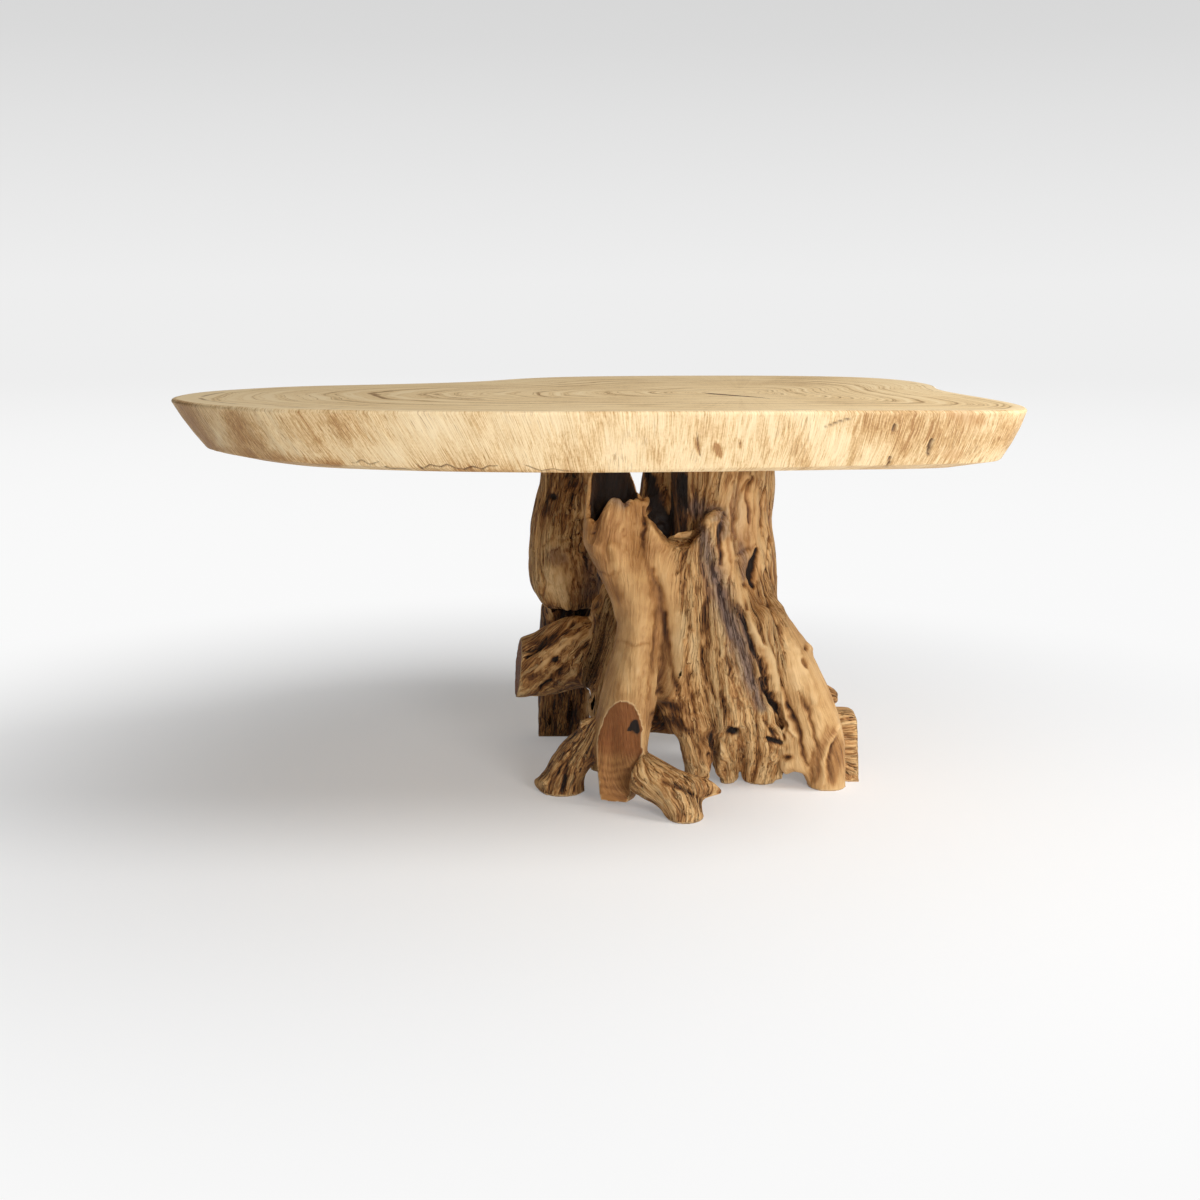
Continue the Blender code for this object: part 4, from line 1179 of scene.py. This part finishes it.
    def weathered(self, mesh: bpy.types.Mesh) -> None:
        """Adds the edge's ripples, cracks and marks to the mesh."""
        skin = Skin(mesh)
        normals = skin.normals()
        drop = np.zeros(len(skin.points), np.float32)
        mesh.attributes["down"].data.foreach_get("value", drop)
        rims = np.zeros(len(skin.points) * 3, np.float32)
        mesh.attributes["fibre"].data.foreach_get("vector", rims)
        rims = rims.reshape(-1, 3).astype(float)
        marks = self.drawing.marks(skin, normals)
        edge = np.clip(np.minimum(drop, 1.0 - drop) / 0.05, 0.0, 1.0) * (np.abs(normals[:, 2]) < 0.9)
        waves = 0.9 * LatticeNoise(51).at(rims / 0.050 + skin.points / 0.6)
        waves += 0.6 * LatticeNoise(52).at(rims / 0.016 + skin.points / 0.3)
        waves += 0.3 * LatticeNoise(53).at(rims / 0.006 + skin.points / 0.2)
        rise = edge * self.ripple * waves
        rise += (marks[Mark.RIDGE] - marks[Mark.FURROW] - marks[Mark.HOLE]) * (drop > 0.01)
        skin.points += normals * rise[:, None] * (np.abs(normals[:, 2:]) < 0.9)
        mesh.vertices.foreach_set("co", skin.points.astype(np.float32).ravel())
        # The shade attribute holds brown smears and streaks, and painted shade at both ends of the edge
        for name, mark, full in (("furrow", Mark.FURROW, 0.004), ("stain", Mark.STAIN, 1.0),
                                 ("shade", Mark.SHADE, 1.0)):
            values = np.clip(marks[mark] / full, 0.0, 1.0).astype(np.float32)
            mesh.attributes.new(name, "FLOAT", "POINT").data.foreach_set("value", values)
        mesh.update()

    def build(self, finish: bpy.types.Material) -> bpy.types.Object:
        """Builds and dresses the slab in the place of its solid."""
        mesh = self.mesh()
        self.weathered(mesh)
        mesh.materials.append(finish)
        piece = linked("slab_wood", mesh)
        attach(piece, BODY)
        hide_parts("slab_top")
        return piece


def tint(red: float, green: float, blue: float) -> tuple:
    """A colour given from 0 to 255 as it shows, in the scene's own linear values."""
    shown = np.array((red, green, blue)) / 255.0
    lit = np.where(shown <= 0.04045, shown / 12.92, ((shown + 0.055) / 1.055) ** 2.4)
    return (*lit.tolist(), 1.0)


class Value:
    """A number in a material, with arithmetic that adds its nodes."""

    def __init__(self, nodes: "Nodes", socket: bpy.types.NodeSocket) -> None:
        """Wraps an output socket."""
        self.nodes, self.socket = nodes, socket

    def worked(self, operation: str, *parts: object) -> "Value":
        """A Math node on values and numbers."""
        node = self.nodes.add("ShaderNodeMath", {"operation": operation}, dict(enumerate(parts)))
        return Value(self.nodes, node.outputs[0])

    def __add__(self, other: object) -> "Value":
        """This plus another."""
        return self.worked("ADD", self, other)

    def __sub__(self, other: object) -> "Value":
        """This less another."""
        return self.worked("SUBTRACT", self, other)

    def __mul__(self, other: object) -> "Value":
        """This times another."""
        return self.worked("MULTIPLY", self, other)

    def __truediv__(self, other: object) -> "Value":
        """This over another."""
        return self.worked("DIVIDE", self, other)

    def __rsub__(self, other: object) -> "Value":
        """Another less this."""
        return self.worked("SUBTRACT", other, self)

    def __abs__(self) -> "Value":
        """Its size without its sign."""
        return self.worked("ABSOLUTE", self)

    __radd__, __rmul__ = __add__, __mul__

    def sine(self) -> "Value":
        """Its sine."""
        return self.worked("SINE", self)

    def most(self, other: object) -> "Value":
        """The larger of this and another."""
        return self.worked("MAXIMUM", self, other)

    def rise(self, low: float, high: float) -> "Value":
        """A smooth step: 0 at one value and 1 at another."""
        node = self.nodes.add("ShaderNodeMapRange", {"interpolation_type": "SMOOTHSTEP"},
                              {"Value": self, "From Min": low, "From Max": high})
        return Value(self.nodes, node.outputs[0])


class Nodes:
    """The node tree of one material."""

    def __init__(self, name: str) -> None:
        """Starts an empty material."""
        self.material = bpy.data.materials.new(name)
        self.material.use_nodes = True
        self.tree = self.material.node_tree
        self.tree.nodes.clear()

    def add(self, kind: str, settings: dict | None = None, sockets: dict | None = None) -> bpy.types.Node:
        """A new node.

        Args:
            kind: its type.
            settings: its properties, and under stops a ramp's positions and colours.
            sockets: values or links for its inputs, by name or number.
        Returns:
            The node.
        """
        node = self.tree.nodes.new(kind)
        for name, setting in (settings or {}).items():
            if name == "stops":
                for number, (place, colour) in enumerate(setting):
                    marks = node.color_ramp.elements
                    mark = marks[number] if number < 2 else marks.new(place)
                    mark.position, mark.color = place, colour
            else:
                setattr(node, name, setting)
        for name, value in (sockets or {}).items():
            source = value.socket if isinstance(value, Value) else value
            if isinstance(source, bpy.types.NodeSocket):
                self.tree.links.new(source, node.inputs[name])
            else:
                node.inputs[name].default_value = source
        return node

    def trait(self, name: str) -> Value:
        """A number that the mesh holds."""
        node = self.add("ShaderNodeAttribute", {"attribute_name": name})
        return Value(self, node.outputs["Fac"])

    def line(self, name: str) -> bpy.types.NodeSocket:
        """A vector that the mesh holds."""
        return self.add("ShaderNodeAttribute", {"attribute_name": name}).outputs["Vector"]

    def place(self) -> bpy.types.NodeSocket:
        """The place on the object."""
        return self.add("ShaderNodeTexCoord").outputs["Object"]

    def scaled(self, vector: bpy.types.NodeSocket, size: float) -> bpy.types.NodeSocket:
        """A vector made longer."""
        node = self.add("ShaderNodeVectorMath", {"operation": "SCALE"}, {0: vector, "Scale": size})
        return node.outputs[0]

    def summed(self, one: bpy.types.NodeSocket, two: object) -> bpy.types.NodeSocket:
        """Two vectors added."""
        return self.add("ShaderNodeVectorMath", {"operation": "ADD"}, {0: one, 1: two}).outputs[0]

    def noise(self, place: bpy.types.NodeSocket, scale: float, detail: float = 2.0) -> Value:
        """Noise from 0 to 1 at a place."""
        node = self.add("ShaderNodeTexNoise", {}, {"Vector": place, "Scale": scale, "Detail": detail})
        return Value(self, node.outputs[0])

    def wavy(self, fibre: bpy.types.NodeSocket, scale: float, reach: float) -> bpy.types.NodeSocket:
        """Fibres that wander from side to side."""
        noise = self.add("ShaderNodeTexNoise", {}, {"Vector": self.place(), "Scale": scale, "Detail": 2.0})
        centred = self.summed(noise.outputs["Color"], (-0.5, -0.5, -0.5))
        return self.summed(fibre, self.scaled(centred, reach))

    def streaks(self, fibre: bpy.types.NodeSocket, across: float, along: float,
                detail: float = 2.0) -> Value:
        """Noise drawn out along fibres, with a spacing across and one along them."""
        place = self.summed(self.scaled(fibre, 1.0 / across), self.scaled(self.place(), 1.0 / along))
        return self.noise(place, 1.0, detail)

    def mixed(self, share: object, one: object, two: object) -> bpy.types.NodeSocket:
        """Two colours mixed by a share of the second."""
        node = self.add("ShaderNodeMix", {"data_type": "RGBA"}, {0: share, 6: one, 7: two})
        return node.outputs[2]

    def ramp(self, value: Value, *stops: tuple) -> bpy.types.NodeSocket:
        """A colour from a ramp of positions and colours."""
        return self.add("ShaderNodeValToRGB", {"stops": stops}, {0: value}).outputs[0]

    def finished(self, colour: object, roughness: object, height: Value | None = None,
                 depth: float = 0.001, **constants: float) -> bpy.types.Material:
        """Closes the material with one surface.

        Args:
            colour: its base colour.
            roughness: its roughness.
            height: its relief, if it has any.
            depth: how deep the relief is.
            constants: values of the shader's other sockets, with underscores for spaces.
        Returns:
            The material.
        """
        sockets = {"Base Color": colour, "Roughness": roughness}
        sockets |= {name.replace("_", " "): value for name, value in constants.items()}
        if height is not None:
            bump = self.add("ShaderNodeBump", {}, {"Strength": 1.0, "Distance": depth, "Height": height})
            sockets["Normal"] = bump.outputs[0]
        surface = self.add("ShaderNodeBsdfPrincipled", {}, sockets)
        self.add("ShaderNodeOutputMaterial", {}, {"Surface": surface.outputs[0]})
        return self.material


@dataclass(frozen=True)
class RootFinish:
    """Weathered and oiled root wood, its grain drawn along the fibres.

    Attributes:
        shadow, deep, body, light, pale: its tones from furrow to sanded ridge; shadow is also painted as shade
            into hollows, holes and gaps.
        flake: the tone of torn fibres.
        stain, stain_line: the purple-grey of rain-washed strips, and the dark lines in them.
        cut, cut_ring, cut_heart, cut_rim: the tones of a sawn face.
        cut_middle: the middle of the rings on the front root's cut.
    """

    shadow: tuple = tint(28, 15, 7)
    deep: tuple = tint(100, 60, 26)
    body: tuple = tint(168, 119, 68)
    light: tuple = tint(208, 163, 107)
    pale: tuple = tint(230, 192, 138)
    flake: tuple = tint(226, 188, 132)
    stain: tuple = tint(142, 120, 108)
    stain_line: tuple = tint(62, 48, 44)
    cut: tuple = tint(172, 120, 68)
    cut_ring: tuple = tint(112, 66, 30)
    cut_heart: tuple = tint(132, 74, 32)
    cut_rim: tuple = tint(216, 178, 128)
    cut_middle: tuple = (0.050, -0.300, 0.150)

    def material(self) -> bpy.types.Material:
        """Builds the material."""
        nodes = Nodes("weathered_root")
        share = nodes.trait("low").rise(0.30, 0.65)
        upper = nodes.wavy(nodes.line("crown_fibre"), 26.0, 0.010)
        lower = nodes.wavy(nodes.line("foot_fibre"), 26.0, 0.010)

        def grain(across: float, along: float, detail: float = 2.0) -> Value:
            """Streaks that follow the crown's fibres above and the foot's below."""
            above = nodes.streaks(upper, across, along, detail)
            below = nodes.streaks(lower, across, along, detail)
            return above + share * (below - above)

        fine, mid, broad = grain(0.0022, 0.028, 4.0), grain(0.0060, 0.060, 5.0), grain(0.024, 0.16, 4.0)
        torn, split = grain(0.0065, 0.026, 4.0), grain(0.010, 0.11, 3.0)
        blotch = nodes.noise(nodes.place(), 15.0, 4.0)
        furrow, cavity_shade = nodes.trait("furrow"), nodes.trait("cavity_shade")
        pale, dark = nodes.trait("pale"), nodes.trait("dark")
        rough = 1 - pale.rise(0.25, 0.85)
        # Painted shade where the wood around shuts a point in
        shelter_shade = nodes.trait("shelter_shade").rise(0.30, 0.95)
        plate = grain(0.013, 0.060, 5.0).rise(0.43, 0.57)
        crack = (1 - abs(split - 0.5).rise(0.004, 0.022)) * (broad + blotch).rise(0.86, 1.06) * rough
        busy = 0.30 + 0.70 * rough
        tone = 0.59 + busy * (1.05 * (fine - 0.5) + 1.00 * (mid - 0.5) + 0.35 * (broad - 0.5))
        # Painted shade: dark holds shade painted into hollows, holes, gaps and creases as well as darker wood,
        # and the shelter term darkens sheltered places
        tone = tone + 0.60 * (blotch - 0.5) + 0.18 * (pale - 0.2) - 0.36 * dark - 0.34 * shelter_shade
        tone = tone + 0.20 * (plate - 0.5) * rough
        # Painted shade from the cavity term: darker in hollows, lighter on bulges
        tone = tone - 0.18 * furrow - 0.42 * (cavity_shade - 0.5) - 0.34 * crack
        wood = nodes.ramp(tone, (0.05, self.shadow), (0.26, self.deep), (0.50, self.body),
                          (0.70, self.light), (0.95, self.pale))
        flakes = torn.rise(0.55, 0.60) * rough * (1 - dark) * (1 - furrow)
        wood = nodes.mixed(0.55 * flakes, wood, self.flake)
        washed = nodes.trait("stain") * (0.35 + 0.8 * mid + 0.5 * fine).rise(0.45, 1.00)
        grey = nodes.mixed((mid + fine).rise(0.85, 1.10), self.stain_line, self.stain)
        wood = nodes.mixed(0.92 * washed, wood, grey)
        # Painted shade: where dark runs deepest, inside hollows, holes and gaps, the wood turns to the shadow
        # tone
        wood = nodes.mixed(dark.rise(0.85, 1.40), wood, self.shadow)
        away = nodes.add("ShaderNodeVectorMath", {"operation": "DISTANCE"},
                         {0: nodes.place(), 1: self.cut_middle})
        spread = Value(nodes, away.outputs["Value"]) + 0.070 * (blotch - 0.5)
        ring = (spread * 360.0).sine() * 0.5 + 0.5
        sawn = nodes.mixed((0.30 * ring + 1.6 * (mid - 0.4) + 0.5 * (fine - 0.5)).rise(0.0, 1.0),
                           self.cut, self.cut_ring)
        height = Value(nodes, nodes.add("ShaderNodeSeparateXYZ", {}, {0: nodes.place()}).outputs[2])
        heart = (height + 0.06 * (blotch - 0.5)).rise(0.085, 0.125)
        sawn = nodes.mixed(0.75 * heart, sawn, self.cut_heart)
        face = nodes.trait("cut")
        sawn = nodes.mixed(face.rise(0.75, 0.98), self.cut_rim, sawn)
        # Painted shade of holes on the sawn faces
        sawn = nodes.mixed(dark.rise(0.4, 1.0), sawn, self.shadow)
        wood = nodes.mixed(face.rise(0.3, 0.6), wood, sawn)
        roughness = 0.64 - 0.12 * pale + 0.20 * (fine - 0.5) + 0.14 * furrow + 0.2 * nodes.trait("stain")
        relief = 0.55 * fine + 1.1 * mid + 0.9 * flakes + 0.70 * plate * rough - 1.3 * crack
        return nodes.finished(wood, roughness, relief, 0.0040, Specular_IOR_Level=0.3)


@dataclass(frozen=True)
class SlabFinish:
    """Sanded and oiled end grain with a natural edge.

    Attributes:
        bright, body, deep: tones of the edge.
        smudge: the brown of smears and bruises on it, and of the painted shade at its ends.
        seam: the tone of cracks.
        heart, sap, figure: tones of the top.
        red: the reddish patches.
        check: the ends of the drying crack beside the pith, in plan.
    """

    bright: tuple = tint(253, 228, 184)
    body: tuple = tint(241, 209, 158)
    deep: tuple = tint(206, 162, 106)
    smudge: tuple = tint(172, 124, 74)
    seam: tuple = tint(84, 54, 30)
    heart: tuple = tint(236, 203, 149)
    sap: tuple = tint(250, 223, 176)
    figure: tuple = tint(156, 118, 72)
    red: tuple = tint(200, 146, 92)
    check: tuple = ((0.2316, -0.072), (0.3484, -0.241))

    def material(self) -> bpy.types.Material:
        """Builds the material."""
        nodes = Nodes("live_edge_slab")
        fibre, place = nodes.wavy(nodes.line("fibre"), 14.0, 0.006), nodes.place()
        ring, down = nodes.trait("ring"), nodes.trait("down")
        fine = nodes.streaks(fibre, 0.0016, 0.026, 4.0)
        mid = nodes.streaks(fibre, 0.0048, 0.055, 4.0)
        speckle = nodes.noise(place, 260.0, 2.0)
        broad = nodes.streaks(fibre, 0.060, 0.50, 3.0)
        mottle = nodes.noise(place, 9.0, 4.0)
        tone = 0.58 + 1.35 * (fine - 0.5) + 0.55 * (mid - 0.5) + 0.35 * (broad - 0.5)
        tone = tone + 1.00 * (mottle - 0.5) + 0.35 * (speckle - 0.5)
        # The shade strokes darken the edge: smears and streaks, and painted shade at both ends; the edge also
        # darkens towards the bottom
        tone = tone - 0.52 * nodes.trait("shade") - 0.10 * down.rise(0.5, 1.0)
        edge = nodes.ramp(tone, (0.0, self.smudge), (0.20, self.deep), (0.48, self.body), (0.76, self.bright))
        bruise = nodes.streaks(fibre, 0.0030, 0.030, 3.0).rise(0.56, 0.64) * (mottle + broad).rise(1.0, 1.2)
        edge = nodes.mixed(0.55 * bruise, edge, self.smudge)
        edge = nodes.mixed(nodes.trait("stain") * 0.6, edge, self.red)
        edge = nodes.mixed(nodes.trait("furrow"), edge, self.seam)
        warp, ruffle = nodes.noise(place, 3.2, 3.0), nodes.noise(place, 15.0, 4.0)
        years = ring + 0.16 * (warp - 0.5) + 0.018 * (ruffle - 0.5)
        wide = self.bands(nodes, years, 22.0)
        narrow = self.bands(nodes, years, 80.0)
        ray = nodes.streaks(nodes.line("fibre"), 0.010, 1.5)
        blotch = nodes.noise(place, 3.0, 5.0)
        vein = 1 - abs(self.bands(nodes, years, 34.0) - 0.5).rise(0.0, 0.045)
        cloud = 0.50 + 1.1 * (blotch - 0.5) + 0.95 * (wide - 0.5) + 0.85 * (narrow - 0.5)
        cloud = cloud + 0.25 * (ray - 0.5) + 0.14 * years + 0.4 * (speckle - 0.5)
        cloud = cloud - 0.38 * vein * (blotch + 0.6 * (ruffle - 0.5)).rise(0.42, 0.62)
        top = nodes.ramp(cloud, (0.12, self.figure), (0.46, self.heart), (0.80, self.sap))
        top = nodes.mixed(ring.rise(0.955, 0.985), top, self.sap)
        last = 1 - abs(ring + 0.020 * (warp - 0.5) - 0.957).rise(0.0015, 0.0055)
        top = nodes.mixed(0.75 * last * (ruffle + broad).rise(0.80, 1.05), top, self.figure)
        open_check = self.drying_check(nodes, place, mottle)
        top = nodes.mixed(open_check, top, self.seam)
        wood = nodes.mixed(down.rise(0.004, 0.010).most(ring.rise(0.994, 0.999)), top, edge)
        roughness = 0.60 + 0.18 * (fine - 0.5) + 0.14 * (blotch - 0.5)
        side = down.rise(0.004, 0.02)
        relief = side * (0.8 * fine + 0.8 * mid) - 2.0 * open_check * (1 - side)
        return nodes.finished(wood, roughness, relief, 0.0008)

    def bands(self, nodes: Nodes, years: Value, count: float) -> Value:
        """Growth rings of uneven width."""
        node = nodes.add("ShaderNodeTexNoise", {"noise_dimensions": "1D"},
                         {"W": years, "Scale": count, "Detail": 2.0})
        return Value(nodes, node.outputs[0])

    def drying_check(self, nodes: Nodes, place: bpy.types.NodeSocket, wander: Value) -> Value:
        """The narrow crack beside the pith: 1 inside it, tapering to both ends."""
        (x0, y0), (x1, y1) = self.check
        parts = nodes.add("ShaderNodeSeparateXYZ", {}, {0: place}).outputs
        x, y = Value(nodes, parts[0]), Value(nodes, parts[1])
        length = math.hypot(x1 - x0, y1 - y0)
        ux, uy = (x1 - x0) / length, (y1 - y0) / length
        along = ((x - x0) * ux + (y - y0) * uy) / length
        aside = abs((y - y0) * ux - (x - x0) * uy + 0.030 * (wander - 0.5))
        width = 0.0085 * (along.rise(-0.1, 0.2) * (1 - along.rise(0.25, 1.1)))
        return (width - aside).rise(-0.0004, 0.0006)


@dataclass(frozen=True)
class DowelFinish:
    """Plain turned hardwood, its grain along the dowel."""

    light: tuple = tint(214, 176, 122)
    dark: tuple = tint(168, 124, 76)

    def material(self) -> bpy.types.Material:
        """Builds the material."""
        nodes = Nodes("turned_dowel")
        grain = nodes.noise(nodes.place(), 240.0, 3.0)
        wood = nodes.ramp(grain, (0.35, self.dark), (0.65, self.light))
        return nodes.finished(wood, 0.5 + 0.2 * (grain - 0.5), grain, 0.0002)


@dataclass(frozen=True)
class SteelFinish:
    """Zinc-plated steel, faintly clouded."""

    bright: tuple = tint(196, 196, 198)
    dull: tuple = tint(150, 150, 154)

    def material(self) -> bpy.types.Material:
        """Builds the material."""
        nodes = Nodes("zinc_steel")
        cloud = nodes.noise(nodes.place(), 190.0, 3.0)
        plate = nodes.ramp(cloud, (0.35, self.dull), (0.65, self.bright))
        return nodes.finished(plate, 0.34 + 0.2 * (cloud - 0.5), cloud, 0.00005, Metallic=1.0)


@dataclass
class Hardware:
    """Dowels, fasteners and screws, which keep the shapes of their solids."""

    wooden: str = "dowel_"
    plated: tuple = ("fastener_", "root_screw_", "slab_screw_")

    def build(self) -> list[str]:
        """Dresses the solids and returns their names."""
        wood, steel = DowelFinish().material(), SteelFinish().material()
        dressed = []
        for name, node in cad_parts.items():
            if name.startswith((self.wooden, *self.plated)):
                for slot in node.material_slots:
                    slot.material = wood if name.startswith(self.wooden) else steel
                dressed.append(name)
        return dressed


@dataclass
class Studio:
    """A plain pale floor and soft light from the front right.

    Attributes:
        floor_reach: half the floor's width.
        fade: the distances between which the floor passes into the background.
        key_place, key_size, key_power: the large soft light in front.
        top_place, top_size, top_power: the soft light overhead.
        aim: the point that both light.
        fill: strength of the light from all around.
        glow: how far the floor near the table is white by itself.
        near_white, far_white: how white the floor shows near the table and far behind it.
        backdrop: brightness of the background at heights above the horizon.
    """

    floor_reach: float = 30.0
    fade: tuple = (0.55, 2.0)
    key_place: tuple = (1.85, -4.05, 1.30)
    key_size: float = 1.7
    key_power: float = 99.0
    top_place: tuple = (2.6, -0.9, 3.4)
    top_size: float = 1.9
    top_power: float = 114.0
    aim: tuple = (0.05, 0.0, 0.5)
    fill: float = 0.26
    glow: float = 0.24
    near_white: float = 0.95
    far_white: float = 0.855
    backdrop: tuple = ((0.0, 0.855), (0.046, 0.81), (0.089, 0.76), (0.132, 0.70), (0.30, 0.58))

    def floor(self) -> bpy.types.Object:
        """The floor, with the object's shadow on it."""
        bm = bmesh.new()
        bmesh.ops.create_circle(bm, cap_ends=True, segments=96, radius=self.floor_reach)
        mesh = bpy.data.meshes.new("studio_floor")
        bm.to_mesh(mesh)
        bm.free()
        nodes = Nodes("pale_floor")
        away = nodes.add("ShaderNodeVectorMath", {"operation": "LENGTH"}, {0: nodes.place()})
        far = Value(nodes, away.outputs["Value"]).rise(*self.fade)
        lit = nodes.add("ShaderNodeBsdfDiffuse", {}, {"Color": (0.91, 0.91, 0.91, 1.0)})
        near, horizon = ((white, white, white, 1.0) for white in (self.near_white, self.far_white))
        shown = nodes.mixed(Value(nodes, away.outputs["Value"]).rise(2.0, 16.0), near, horizon)
        shine = nodes.add("ShaderNodeEmission", {}, {"Color": shown, "Strength": 1.0})
        path = nodes.add("ShaderNodeLightPath")
        camera = Value(nodes, path.outputs["Is Camera Ray"])
        glossy = Value(nodes, path.outputs["Is Glossy Ray"])
        clear = Value(nodes, path.outputs["Is Transmission Ray"])
        share = camera.most(glossy).most(clear) * (self.glow + (1.0 - self.glow) * far)
        both = nodes.add("ShaderNodeMixShader", {}, {0: share, 1: lit.outputs[0], 2: shine.outputs[0]})
        nodes.add("ShaderNodeOutputMaterial", {}, {"Surface": both.outputs[0]})
        mesh.materials.append(nodes.material)
        made = linked("studio_floor", mesh)
        return made

    def light(self, name: str, place: tuple, size: float, power: float) -> bpy.types.Object:
        """One large soft light.

        Args:
            name: its name.
            place: where it stands.
            size: how wide it is.
            power: how strong it is, in watts.
        Returns:
            The light.
        """
        data = bpy.data.lights.new(name, "AREA")
        data.shape, data.size, data.energy = "DISK", size, power
        made = bpy.data.objects.new(name, data)
        made.location = place
        way = Vector(self.aim) - Vector(place)
        made.rotation_euler = way.to_track_quat("-Z", "Y").to_euler()
        made.visible_camera = False
        bpy.context.scene.collection.objects.link(made)
        return made

    def world(self) -> bpy.types.World:
        """Light from all around, and the pale background that the camera sees."""
        made = bpy.data.worlds.new("studio_world")
        made.use_nodes = True
        tree = made.node_tree
        tree.nodes.clear()
        shown, lighting = (tree.nodes.new("ShaderNodeBackground") for _ in range(2))
        lighting.inputs["Strength"].default_value = self.fill
        way, parts = tree.nodes.new("ShaderNodeTexCoord"), tree.nodes.new("ShaderNodeSeparateXYZ")
        ramp = tree.nodes.new("ShaderNodeValToRGB")
        for number, (height, bright) in enumerate(self.backdrop):
            marks = ramp.color_ramp.elements
            mark = marks[number] if number < 2 else marks.new(height)
            mark.position, mark.color = height, (bright, bright, bright, 1.0)
        tree.links.new(way.outputs["Generated"], parts.inputs[0])
        tree.links.new(parts.outputs["Z"], ramp.inputs[0])
        tree.links.new(ramp.outputs[0], shown.inputs["Color"])
        path, both = tree.nodes.new("ShaderNodeLightPath"), tree.nodes.new("ShaderNodeMixShader")
        out = tree.nodes.new("ShaderNodeOutputWorld")
        tree.links.new(path.outputs["Is Camera Ray"], both.inputs[0])
        tree.links.new(lighting.outputs[0], both.inputs[1])
        tree.links.new(shown.outputs[0], both.inputs[2])
        tree.links.new(both.outputs[0], out.inputs["Surface"])
        bpy.context.scene.world = made
        return made

    def build(self) -> None:
        """Sets up the floor, the lights and the picture's view."""
        self.floor()
        self.light("key_light", self.key_place, self.key_size, self.key_power)
        self.light("top_light", self.top_place, self.top_size, self.top_power)
        self.world()
        bpy.context.scene.view_settings.view_transform = "Standard"


def main() -> None:
    """Builds the table's pieces in order, then the studio."""
    logging.basicConfig(level=logging.INFO, format="%(message)s")
    sight = Sight()
    sight.camera()
    Studio().build()
    slab = Slab(drawing=Drawing(SLAB_STROKES, sight, 1.0, 0, True)).build(SlabFinish().material())
    log.info("%s: %d faces", slab.name, len(slab.data.polygons))
    base = RootBase(drawing=Drawing(ROOT_STROKES, sight))
    for piece in base.build(RootFinish().material()):
        log.info("%s: %d faces", piece.name, len(piece.data.polygons))
    for name in Hardware().build():
        log.info("%s: dressed", name)


if __name__ == "__main__":
    main()
